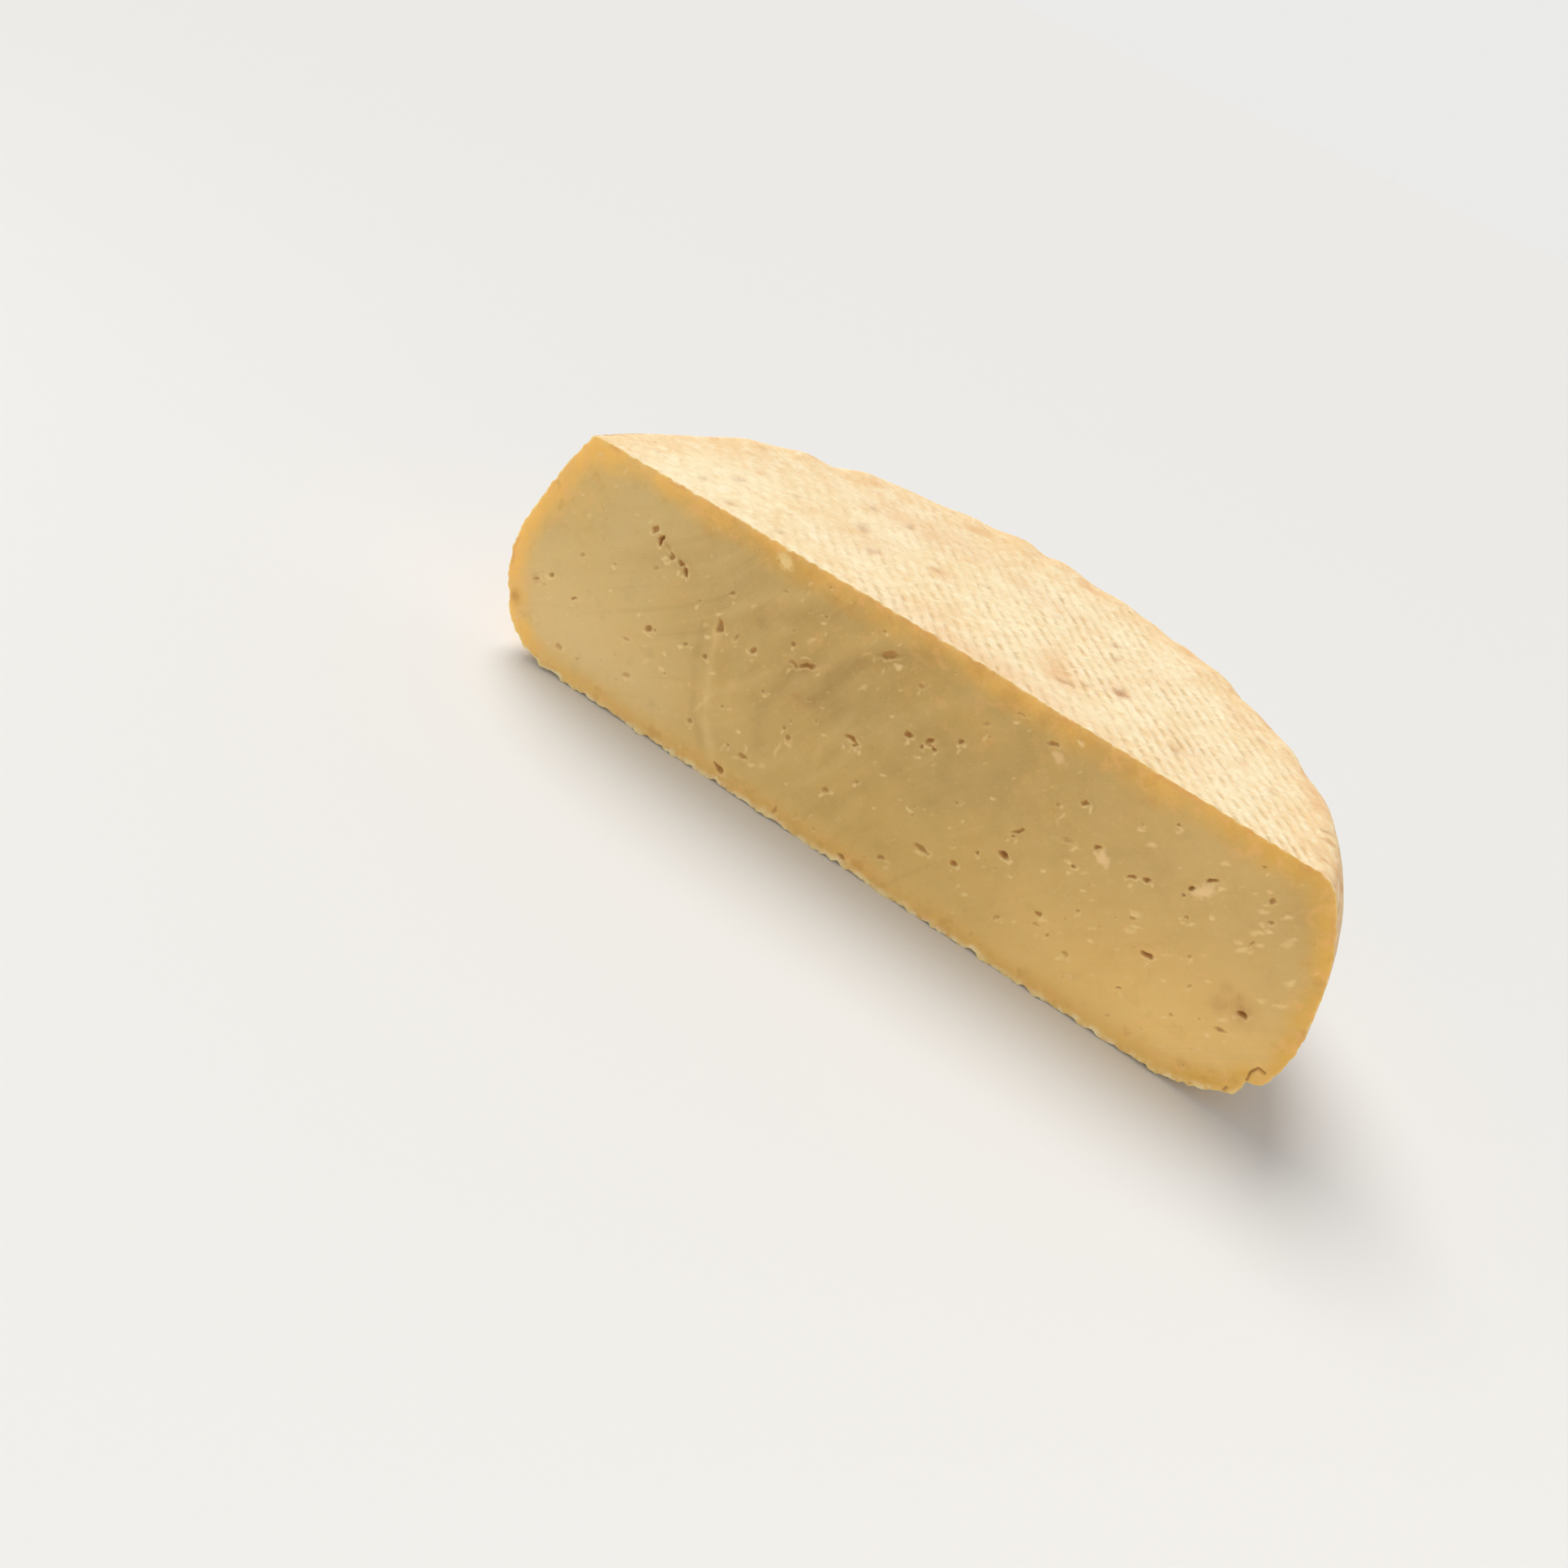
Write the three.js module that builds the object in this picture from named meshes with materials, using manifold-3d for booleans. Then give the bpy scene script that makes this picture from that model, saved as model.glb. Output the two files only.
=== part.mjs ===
// Half of a pressed, natural-rind cheese wheel, lying on its flat lower face.
//
// Frame, in millimetres: +Z up, the origin at the middle of the part's bounding box, on the resting face.
// The cut face is upright and faces -Y, and the rind runs round the far side, towards +Y. The shape is
// drawn first about the wheel's own axis, with the knife's plane at y = 0, and is moved into place last.
//
// The cheese is one piece: rind and paste grew together, so there is one solid. It has slumped a little
// in ripening, so it is widest about a third of the way up, its upper shoulder is crisp and its lower
// shoulder is round. The two ends of the cut are not quite alike, and the rim passes smoothly from the
// one profile to the other as it goes round. The larger mechanical openings in the paste are cut out.

import * as THREE from "three";
import { mergeVertices } from "three/addons/utils/BufferGeometryUtils.js";
import Module from "manifold-3d";

// ---- driving dimensions, mm ----
const HEIGHT = 70.6; // resting face to upper face, at the middle
const FLAT_R = 90; // radius of the flat part of the lower face
const BACK_STRETCH = 1.012; // the far side bulges a little more than the ends of the cut
const SEGMENTS = 132; // round the whole wheel, before it is halved
const CUT_Y = 0; // plane of the knife cut

// Rim profile at the right-hand end of the cut: [radius, height], from the lower face up.
const RIM_RIGHT = [
  [90, 0], [98, 0.35], [104, 0.9], [108.5, 2.0], [113, 4.1], [117.4, 6.8], [121.2, 10.0], [124.0, 14.2],
  [125.8, 19.6], [126.4, 25.2], [126.2, 31.0], [125.5, 37.0], [124.2, 43.2], [122.6, 49.2], [120.6, 55.0],
  [118.2, 60.2], [115.6, 64.6], [113.0, 67.8], [110.6, 69.7], [107.4, 70.5],
];
// The same at the left-hand end, point for point.
const RIM_LEFT = [
  [90, 0], [96, 0.35], [101, 0.9], [106, 1.8], [110.4, 3.2], [114.4, 5.8], [117.6, 9.4], [120.4, 14.2],
  [122.4, 19.6], [123.6, 25.2], [124.1, 31.0], [123.4, 37.0], [122.0, 43.2], [120.3, 49.2], [118.4, 55.0],
  [116.4, 60.2], [114.4, 64.6], [112.8, 67.8], [111.3, 70.0], [108.6, 70.6],
];

// The larger openings in the cut face: x, z, length, width, turn in degrees, depth.
const OPENINGS = [
  [-84.6, 55.8, 3.4, 2.4, 60, 1.6],
  [-81.6, 54.2, 3.4, 2.0, 80, 3.2],
  [-72.6, 50.8, 5.6, 2.0, -24, 2.6],
  [-56.6, 42.2, 4.2, 2.3, 95, 2.2],
  [-29.6, 45.1, 5.4, 1.8, 33, 2.6],
  [-10.8, 60.3, 6.6, 2.4, 38, 2.0],
  [-10.2, 34.4, 5.6, 1.8, -4, 2.2],
  [-40.4, 5.6, 4.8, 1.8, -24, 2.0],
  [3.9, 44.2, 2.6, 2.3, 0, 1.8],
  [9.8, 45.2, 3.6, 2.8, 35, 1.8],
  [40.4, 29.6, 4.0, 2.2, 2, 3.4],
  [30.2, 19.9, 2.4, 2.0, 0, 1.8],
  [20.8, 18.2, 5.6, 1.8, -6, 1.6],
  [60.3, 45.4, 3.0, 1.7, 22, 1.6],
  [74.4, 45.0, 2.2, 1.6, 32, 1.8],
  [86.6, 51.0, 8.2, 3.4, 52, 2.4],
  [84.0, 27.6, 4.4, 1.8, 5, 3.0],
  [111.3, 28.2, 3.6, 2.4, 4, 3.4],
];

const wasm = await Module();
wasm.setup();

// A closed three.js geometry as a manifold-3d solid.
function toSolid(geometry) {
  const bare = geometry.clone();
  bare.deleteAttribute("normal");
  bare.deleteAttribute("uv");
  const g = mergeVertices(bare, 1e-4);
  return new wasm.Manifold(
    new wasm.Mesh({
      numProp: 3,
      vertProperties: new Float32Array(g.attributes.position.array),
      triVerts: new Uint32Array(g.index.array),
    }),
  );
}

// A manifold-3d solid as a three.js geometry.
function toGeometry(solid) {
  const m = solid.getMesh();
  const xyz = new Float32Array(m.numVert * 3);
  for (let i = 0; i < m.numVert; i++)
    for (let k = 0; k < 3; k++)
      xyz[3 * i + k] = m.vertProperties[m.numProp * i + k];
  const g = new THREE.BufferGeometry();
  g.setAttribute("position", new THREE.BufferAttribute(xyz, 3));
  g.setIndex(new THREE.BufferAttribute(new Uint32Array(m.triVerts), 1));
  g.computeVertexNormals();
  return g;
}

// ---- the whole wheel as a lathe, its profile from the axis at the bottom to the axis at the top ----
const INNER_BOTTOM = [0, 45];
const INNER_TOP = [96, 78, 40, 0];
const profile = [
  ...INNER_BOTTOM.map((r) => new THREE.Vector2(r, 0)),
  ...RIM_RIGHT.map(([r, z]) => new THREE.Vector2(r, z)),
  ...INNER_TOP.map((r) => new THREE.Vector2(r, HEIGHT)),
];
const lathe = new THREE.LatheGeometry(profile, SEGMENTS);
lathe.rotateX(Math.PI / 2); // the lathe turns about Y; this stands its axis up along Z

// Moves each rim point from the right-hand profile towards the left-hand one as it goes round, and gives
// the wheel its slight unevenness. Both vanish at the two ends of the cut and over the flat lower face.
const place = lathe.attributes.position;
const rows = profile.length;
const first = INNER_BOTTOM.length;
for (let i = 0; i < place.count; i++) {
  const row = i % rows;
  const x = place.getX(i), y = place.getY(i);
  const turn = Math.abs(Math.atan2(y, x)); // 0 at the right-hand end, pi at the left
  const round = Math.hypot(x, y) < 1e-6 ? 0 : 1;
  const share = (1 - Math.cos(turn)) / 2;
  const behind = Math.sin(turn);
  const k = row - first;
  let r = profile[row].x, z = profile[row].y;
  if (k >= 0 && k < RIM_RIGHT.length) {
    r = RIM_RIGHT[k][0] * (1 - share) + RIM_LEFT[k][0] * share;
    z = RIM_RIGHT[k][1] * (1 - share) + RIM_LEFT[k][1] * share;
    const above = Math.min(1, z / 20);
    r += behind * above * (0.9 * Math.sin(3 * turn + 0.7) + 0.6 * Math.sin(7 * turn + 2.1));
  }
  const edge = THREE.MathUtils.smoothstep(r, 84, 108) * THREE.MathUtils.smoothstep(z, 52, 66);
  z += behind * edge * (0.5 * Math.sin(9 * turn) + 0.35 * Math.sin(16 * turn + 1) - 0.3);
  if (round) {
    const a = Math.atan2(y, x);
    place.setXYZ(i, r * Math.cos(a), r * Math.sin(a) * BACK_STRETCH, z);
  } else place.setXYZ(i, 0, 0, z);
}

// ---- halved by the knife, then the openings in the paste ----
const box = new THREE.BoxGeometry(400, 200, 200);
box.translate(0, CUT_Y - 100, 40);
let half = toSolid(lathe).subtract(toSolid(box));
for (const [x, z, length, width, turn, depth] of OPENINGS) {
  const pit = new THREE.SphereGeometry(1, 12, 8);
  pit.scale(length / 2, depth, width / 2);
  pit.rotateY((-turn * Math.PI) / 180);
  pit.translate(x, CUT_Y, z);
  half = half.subtract(toSolid(pit));
}

// ---- into the part's own frame ----
const shape = toGeometry(half);
shape.computeBoundingBox();
const { min, max } = shape.boundingBox;
shape.translate(-(min.x + max.x) / 2, -(min.y + max.y) / 2, -min.z);

const cheese = new THREE.Group();
const body = new THREE.Mesh(
  shape,
  new THREE.MeshStandardMaterial({ color: 0xd9b879, roughness: 0.62, metalness: 0 }),
);
body.name = "cheese_half_wheel";
cheese.add(body);

export default cheese;
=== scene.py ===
"""Half of a pressed, natural-rind cheese wheel: its looks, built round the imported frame.

Shapes are worked out in millimetres about the wheel's own axis: x along the knife cut, y into the cheese,
z up from the resting face. The last step moves them into the row frame, in metres.
"""

import math

import bpy
import numpy as np
from mathutils import Matrix, Vector
from mathutils.geometry import delaunay_2d_cdt


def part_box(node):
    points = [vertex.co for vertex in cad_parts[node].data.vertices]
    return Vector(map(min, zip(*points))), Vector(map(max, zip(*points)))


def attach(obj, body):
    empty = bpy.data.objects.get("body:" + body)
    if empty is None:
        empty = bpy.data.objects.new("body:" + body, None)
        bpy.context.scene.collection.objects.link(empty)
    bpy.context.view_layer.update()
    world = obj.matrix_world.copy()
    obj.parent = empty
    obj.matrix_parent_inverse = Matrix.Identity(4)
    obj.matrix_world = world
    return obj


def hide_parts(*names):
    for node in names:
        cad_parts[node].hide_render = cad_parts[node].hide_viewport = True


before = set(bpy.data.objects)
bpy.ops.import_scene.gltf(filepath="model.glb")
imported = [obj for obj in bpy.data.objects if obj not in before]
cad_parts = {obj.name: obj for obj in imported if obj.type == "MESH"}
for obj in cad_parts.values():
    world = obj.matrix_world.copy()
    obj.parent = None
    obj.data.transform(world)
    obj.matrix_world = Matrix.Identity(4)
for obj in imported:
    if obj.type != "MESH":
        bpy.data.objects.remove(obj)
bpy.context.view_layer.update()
NODE = "cheese_half_wheel"
lo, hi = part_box(NODE)
LEFT_R = 124.1                                   # the left end of the cut is this far from the axis
SHIFT = np.array([lo.x * 1000 + LEFT_R, lo.y * 1000, lo.z * 1000])  # wheel frame to row frame, mm


# ------------------------------------------------------------------ noise
class Noise:
    def __init__(self, seed):
        r = np.random.default_rng(seed)
        p = r.permutation(256)
        self.p = np.concatenate([p, p, p])
        g = r.normal(size=(256, 3))
        self.g = g / np.linalg.norm(g, axis=1)[:, None]

    def __call__(self, q):
        q = np.asarray(q, float)
        i = np.floor(q).astype(np.int64)
        f = q - i
        i &= 255
        u = f * f * f * (f * (f * 6 - 15) + 10)
        out = np.zeros(len(q))
        for a in (0, 1):
            for b in (0, 1):
                for c in (0, 1):
                    h = self.p[self.p[self.p[i[:, 0] + a] + i[:, 1] + b] + i[:, 2] + c]
                    d = f - (a, b, c)
                    w = (u[:, 0] if a else 1 - u[:, 0]) * (u[:, 1] if b else 1 - u[:, 1]) * (u[:, 2] if c else 1 - u[:, 2])
                    out += w * (self.g[h] * d).sum(1)
        return out * 1.5


NOISE = Noise(473)


def noise(P, wave, octaves=1, shift=0.0, gain=0.5):
    """Smooth noise about -1 to 1 over points in mm, with that wavelength in mm."""
    P = np.asarray(P, float)
    if P.shape[1] == 2:
        P = np.column_stack([P, np.zeros(len(P))])
    total, amp, norm = np.zeros(len(P)), 1.0, 0.0
    for k in range(octaves):
        total += amp * NOISE(P * (2**k / wave) + (37.2 * shift + 11.7 * k, 5.3 * shift, 91.1 + 3.9 * shift))
        norm += amp
        amp *= gain
    return total / norm


def smooth(a, b, x):
    t = np.clip((np.asarray(x, float) - a) / (b - a), 0, 1)
    return t * t * (3 - 2 * t)


# ------------------------------------------------------------------ base shape
RIM_RIGHT = np.array([
    [90, 0], [98, 0.35], [104, 0.9], [108.5, 2.0], [113, 4.1], [117.4, 6.8], [121.2, 10.0], [124.0, 14.2],
    [125.8, 19.6], [126.4, 25.2], [126.2, 31.0], [125.3, 37.0], [123.9, 43.2], [122.2, 49.2], [120.1, 55.0],
    [117.7, 60.2], [115.1, 64.6], [112.5, 67.8], [110.3, 69.7], [107.4, 70.5]])
RIM_LEFT = np.array([
    [90, 0], [96, 0.35], [101, 0.9], [106, 1.8], [110.4, 3.2], [114.4, 5.8], [117.6, 9.4], [120.4, 14.2],
    [122.4, 19.6], [123.6, 25.2], [124.0, 31.0], [123.2, 37.0], [121.6, 43.2], [119.8, 49.2], [117.8, 55.0],
    [115.8, 60.2], [113.9, 64.6], [112.5, 67.8], [111.2, 70.0], [108.6, 70.6]])
TOP = 70.6
# how far the upper shoulder stands out or in, by angle round the rim in degrees (0 is the right-hand end of the cut)
SHOULDER = np.array([
    [0, 0], [8, 0.2], [16, 0.4], [24, 0.9], [28, 0.2], [33, -1.6], [39, 0.6], [44, -0.6], [50, 0.0], [53, -0.8], [59, 3.0],
    [64, 1.2], [67, 1.6], [70, -0.8], [74, 1.4], [76, 0.4], [80, 2.6], [85, 0.4], [88, 2.2], [92, 4.8], [94.5, 0.6], [98, 5.6],
    [104, 1.6], [108, 3.0], [113, 1.0], [117, 1.6], [122, 2.6], [127, 3.6], [130, 1.0], [133, -1.2], [137, 3.8], [143, 2.2],
    [148, 3.4], [152, 1.6], [156, 0.0], [162, -0.6], [170, -0.6], [180, 0]])


def catmull(P, t):
    n = len(P)
    i = np.clip(np.floor(t).astype(int), 0, n - 2)
    f = (t - i)[:, None]
    a, b, c, d = P[np.clip(i - 1, 0, n - 1)], P[i], P[i + 1], P[np.clip(i + 2, 0, n - 1)]
    return 0.5 * (2 * b + (c - a) * f + (2 * a - 5 * b + 4 * c - d) * f**2 + (3 * b - a - 3 * c + d) * f**3)


_t = np.linspace(0, len(RIM_RIGHT) - 1, 2001)
_m = (catmull(RIM_RIGHT, _t) + catmull(RIM_LEFT, _t)) / 2
_arc = np.concatenate([[0], np.cumsum(np.hypot(*np.diff(_m, axis=0).T))])
S_LEN = float(_arc[-1])                          # length of the rim profile, mm


_deg = np.arange(0, 180.01, 0.1)
_lumps = np.interp(_deg, SHOULDER[:, 0], SHOULDER[:, 1])
_k = np.exp(-(np.arange(-40, 41) * 0.1 / 1.15) ** 2)
_lumps = np.convolve(np.pad(_lumps, 40, mode="edge"), _k / _k.sum(), "valid")
_lumps *= smooth(0, 4, _deg) * smooth(180, 176, _deg)


def rim(s, theta):
    """Radius, height and outward normal of the smooth rim at profile length s and angle theta."""
    t = np.interp(s, _arc, _t)
    share = (1 - np.cos(theta)) / 2

    def at(tt):
        P = catmull(RIM_RIGHT, tt) * (1 - share)[:, None] + catmull(RIM_LEFT, tt) * share[:, None]
        P[:, 0] *= 1 + 0.018 * np.abs(np.sin(theta)) ** 1.5
        return P
    P = at(t)
    d = at(np.clip(t + 0.05, 0, len(RIM_RIGHT) - 1)) - at(np.clip(t - 0.05, 0, len(RIM_RIGHT) - 1))
    d /= np.linalg.norm(d, axis=1)[:, None] + 1e-12
    nr, nz = d[:, 1].copy(), -d[:, 0].copy()
    top = smooth(S_LEN - 3, S_LEN, s)
    bot = 1 - smooth(0, 3, s)
    nr *= (1 - top) * (1 - bot)
    nz = nz * (1 - top) * (1 - bot) + top - bot
    k = np.hypot(nr, nz) + 1e-12
    # the shoulder's lumps
    dev = np.interp(np.degrees(theta), _deg, _lumps)
    w = smooth(50, 67, P[:, 1])
    P[:, 0] += w * dev * 0.45
    P[:, 1] += w * dev * 0.26
    return P[:, 0], P[:, 1], nr / k, nz / k


def edge_radius(theta, top=True):
    s = np.full(len(theta), S_LEN if top else 0.0)
    return rim(s, theta)[:2]


# ------------------------------------------------------------------ relief of the rind
# marks on the upper face: x, y, half length, half width, turn, colour (above 0 brown, below 0 pale tan), depth
BLOTCHES = [
    (27, 24, 9, 5.5, 110, -0.75, 0.10), (22, 33, 9, 4, 100, -0.55, 0.08), (29.5, 21.5, 2.6, 1.1, 25, 0.55, 0.25),
    (42.0, 36.8, 2.6, 1.7, 80, 0.85, 0.40), (41, 38, 6, 4.5, 80, -0.5, 0.05), (-20, 46, 6, 3, 100, -0.6, 0.05),
    (-21.5, 46.5, 1.8, 1.2, 0, 0.35, 0.15), (-45.5, 45.5, 3.4, 1.7, 110, 0.45, 0.25), (33, 59.5, 2.2, 1.2, 90, 0.60, 0.30),
    (30, 70, 1.8, 1.2, 60, 0.55, 0.25), (-40, 68, 2.2, 1.2, 100, 0.5, 0.2), (-52, 65, 2.0, 1.1, 120, 0.45, 0.2),
    (104.5, 26.5, 2.2, 1.1, 40, 0.55, 0.25), (106, 21, 2.0, 0.8, 30, 0.45, 0.2), (107.5, 33, 2.0, 0.9, 50, 0.45, 0.2), (100, 40, 4.5, 3, 120, -0.8, 0.1), (97, 48, 5.5, 3, 130, -0.75, 0.1),
    (92, 57, 4, 2.4, 130, -0.6, 0.1), (10, 105, 5, 2.4, 0, -0.7, 0.1), (45, 99, 5, 2.2, -30, -0.7, 0.1),
    (-79, 27, 3.2, 1.8, 70, 0.30, 0.2), (-83, 13, 2.0, 1.2, 100, 0.35, 0.2), (-70, 7, 1.8, 1.2, 60, 0.35, 0.2),
    (-54, 8, 1.8, 1.3, 90, 0.35, 0.2), (-36, 33, 2.6, 1.6, 80, 0.30, 0.15), (-5, 22, 3.4, 2.2, 110, -0.5, 0.05),
    (63, 20, 1.7, 0.9, 100, 0.45, 0.2), (78, 38, 3.4, 1.6, 110, -0.6, 0.08), (34, 28, 1.5, 0.9, 60, 0.5, 0.2),
    (-36, 74, 24, 11, 20, -0.45, 0.02), (16, 4, 30, 7, 0, -0.55, 0.0), (-12, 12, 13, 6, 10, -0.34, 0.0), (-42, 36, 12, 15, 0, -0.26, 0.0),
    (2, 75, 20, 8, -8, -0.30, 0.0), (46, 64, 10, 9, 0, -0.20, 0.0), (66, 24, 12, 10, 0, -0.22, 0.0), (69, 70, 6, 3, 130, -0.5, 0.08), (78, 62, 2.2, 1.1, 130, 0.35, 0.15), (-8, 57, 1.6, 1.0, 110, 0.35, 0.15),
    (12, 66, 1.5, 1.0, 110, 0.3, 0.15), (-66, 40, 2.0, 1.3, 100, 0.28, 0.15), (-80, 42, 2.4, 1.5, 120, -0.5, 0.05),
    (-62, 84, 6, 2.6, 60, -0.6, 0.08), (-28, 98, 6, 2.6, 20, -0.6, 0.08), (76, 80, 5, 2.4, -45, -0.6, 0.08),
    (88, 30, 1.6, 1.0, 120, 0.35, 0.15), (52, 52, 1.6, 1.0, 100, 0.30, 0.15), (105, 12, 2.6, 1.6, 90, 0.25, 0.15),
]
STROKE = (0.213, 0.152)                          # the cloth's two sets of threads, in cycles per mm
CROSS = (0.013, 0.210)
STAGGER = 0.5065                                 # the dashes of one row stand half a step on from the next


def phases(x, y, seed):
    """Where each point lies in the cloth's weave, in whole threads, with the threads wandering a little."""
    Q = np.column_stack([x, y])
    wx = 1.5 * noise(Q, 30, 2, seed) + 0.45 * noise(Q, 9, 2, seed + 1)
    wy = 1.5 * noise(Q, 34, 2, seed + 2) + 0.45 * noise(Q, 10, 2, seed + 3)
    slip = 0.60 * noise(Q, 7.0, 2, seed + 4, 0.6)
    return STROKE[0] * (x + wx) + STROKE[1] * (y + wy), CROSS[0] * (x + wx) + CROSS[1] * (y + wy) + slip


def dashes(wu, wv):
    """1 in the middle of each pressed dash, 0 between them."""
    du = wu - np.round(wu)
    q = wv - STAGGER * du
    dq = q - np.round(q)
    return np.exp(-(du / 0.20) ** 2) * (1 - smooth(0.30, 0.52, np.abs(dq)))


def top_relief(x, y):
    Q = np.column_stack([x, y])
    strong = smooth(-95, 30, x) * (1 - 0.45 * smooth(50, 108, y)) * (1 - 0.8 * smooth(96, 112, np.hypot(x, y)))
    strong = np.clip((0.16 + 0.94 * strong) * (0.62 + 0.60 * noise(Q, 17, 2, 5) + 0.75 * noise(Q, 5.5, 2, 7)), 0, 1.1)
    wu, wv = phases(x, y, 6)
    dash = dashes(wu, wv)
    rough = noise(Q, 5.5, 3, 9, 0.6)
    h = 0.42 * noise(Q, 46, 2, 4) + 0.20 * noise(Q, 14, 2, 8) + 0.25 * strong * (0.35 - dash) + 0.13 * rough
    pits = smooth(0.44, 0.70, noise(Q, 4.6, 2, 12))
    h -= 0.30 * pits * (0.5 + 0.5 * noise(Q, 20, 1, 13))
    for (sx, sy, rx, ry, turn, brown, sunk) in BLOTCHES:
        c, n = math.cos(math.radians(turn)), math.sin(math.radians(turn))
        u, v = ((x - sx) * c + (y - sy) * n) / rx, (-(x - sx) * n + (y - sy) * c) / ry
        h -= sunk * np.exp(-(u**2 + v**2))
    # a shallow crease pressed by a fold of the cloth
    t = np.clip((y - 16) / 29, 0, 1)
    h += 0.20 * np.exp(-((x - (5 + 7.5 * t)) / 1.3) ** 2) * smooth(10, 18, y) * smooth(50, 43, y)
    swell = 0.75 * np.exp(-(((x - 4) / 30) ** 2 + ((y - 6) / 26) ** 2)) - 0.5 * smooth(-60, -105, x) * smooth(60, 10, y)
    return h + swell, (wu, wv, strong), pits


def bottom_relief(x, y):
    Q = np.column_stack([x, y])
    wu, wv = phases(-y * 0.9 + 31, x * 0.9, 26)
    strong = np.clip(0.50 + 0.7 * noise(Q, 26, 2, 25), 0, 1)
    # the lower face lies flat: its relief only goes inward
    h = -0.10 - 0.20 * strong * dashes(wu, wv) - 0.10 * (1 + noise(Q, 9, 3, 24, 0.6)) / 2
    pits = smooth(0.38, 0.66, noise(Q, 5, 2, 27))
    return h - 0.35 * pits, (wu, wv, strong), pits


def side_relief(P, u, s):
    Q = np.column_stack([u, s])
    # the cloth's threads run along the rim, its print strongest just below the shoulder
    wu, wv = phases(u * 0.30 + 0.95 * s, s * 0.30 - 0.95 * u, 36)
    strong = np.clip(0.18 + 0.62 * noise(Q, 30, 2, 35) + 0.35 * smooth(45, 66, P[:, 2]), 0, 1)
    h = 0.55 * noise(P, 34, 2, 31) + 0.26 * noise(P, 11, 2, 32) + 0.12 * noise(P, 4.0, 3, 33, 0.6) - 0.16 * strong * dashes(wu, wv)
    # fine cracks: thin lines where a warped noise passes through zero
    c = np.abs(noise(P * (1, 1, 1.5), 17, 3, 38, 0.6))
    crack = (1 - smooth(0.0, 0.045, c)) * smooth(0.05, 0.45, noise(P, 30, 1, 39))
    pits = smooth(0.40, 0.66, noise(P, 4.8, 2, 40))
    h -= 0.34 * crack + 0.40 * pits
    return h, (wu, wv, strong), np.maximum(pits, 0.8 * crack)


def outer(P, nr, nz, theta, s):
    """Moves points of the smooth outside along their normals. Gives the points and the groove and pit masks."""
    x, y, z = P.T
    wt, wb = smooth(0.55, 0.97, nz), smooth(0.55, 0.97, -nz)
    ws = 1 - wt - wb
    ht, ct, pt = top_relief(x, y)
    hb, cb, pb = bottom_relief(x, y)
    hs, cs, ps = side_relief(P, theta * 122, s)
    h = wt * ht + wb * hb + ws * hs
    pick = np.where(wt > 0.5, 0, np.where(wb > 0.5, 1, 2))
    wu, wv, strong = (np.choose(pick, [ct[k], cb[k], cs[k]]) for k in range(3))
    # the print fades where one face's weave gives way to the next
    strong = strong * smooth(0.5, 0.9, np.max([wt, wb, ws], axis=0))
    # the knife leaves the rind ragged right at the cut
    near = np.exp(-np.maximum(y, 0) / 0.9)
    E = np.column_stack([x, z])
    low = smooth(9, 1, z)
    rag = noise(E, 3.4, 2, 51, 0.7) * (0.36 + 0.62 * low) + (0.34 + 0.30 * low) * noise(E, 1.7, 1, 52)
    rag += 0.40 * low * noise(E, 9.0, 1, 57)
    h += near * (rag - 0.12 * low)
    # crevice in the lower rim at the right-hand end, with a small flap of rind below it
    notch = np.exp(-((x - 122.3) / 3.0) ** 2 - ((z - 11.8) / 1.5) ** 2 - (y / 7.0) ** 2)
    flap = np.exp(-((x - 119.5) / 2.2) ** 2 - ((z - 8.2) / 1.1) ** 2 - (y / 4.0) ** 2)
    dent = np.exp(-((x + 119.6) / 2.6) ** 2 - ((z - 15.2) / 2.2) ** 2 - (y / 4.0) ** 2)
    h += -2.1 * notch + 0.9 * flap - 0.6 * dent
    out = P.copy()
    out[:, 0] += h * nr * np.cos(theta)
    out[:, 1] += h * nr * np.sin(theta)
    out[:, 2] += h * nz
    out[:, 2] = np.maximum(out[:, 2], 0.02)
    masks = {"wu": wu, "wv": wv, "wk": strong, "side": ws,
             "pit": np.clip(wt * pt + wb * pb + ws * ps + 0.9 * notch, 0, 1)}
    stain, spot = np.zeros(len(x)), np.zeros(len(x))
    mess = 1 + 0.55 * noise(P, 5.5, 2, 55, 0.6)
    for (sx, sy, rx, ry, turn, brown, sunk) in BLOTCHES:
        c, n = math.cos(math.radians(turn)), math.sin(math.radians(turn))
        u, v = ((x - sx) * c + (y - sy) * n) / rx, (-(x - sx) * n + (y - sy) * c) / ry
        m_ = np.clip(np.exp(-(u**2 + v**2)) * mess, 0, 1) * smooth(56, 63, z)
        if brown > 0:
            spot = np.maximum(spot, m_ * brown)
        else:
            stain = np.maximum(stain, -m_ * brown)
    masks["stain"], masks["spot"] = stain, spot
    return out, masks


# ------------------------------------------------------------------ meshing
def graded(total, fine, coarse, rate, both):
    """Steps from 0 to total, fine at the start (and the end, if both), growing to coarse."""
    steps, at = [0.0], 0.0
    limit = total / 2 if both else total
    d = fine
    while at + d < limit:
        at += d
        steps.append(at)
        d = min(coarse, d * rate)
    a = np.array(steps)
    if both:
        a = np.concatenate([a * (limit / a[-1]) if limit - a[-1] < 0.5 * d else np.append(a, limit), []])
        a = np.concatenate([a, (total - a[:-1])[::-1]])
        return a
    return a * (total / a[-1]) if total - a[-1] < 0.5 * d else np.append(a, total)


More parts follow.
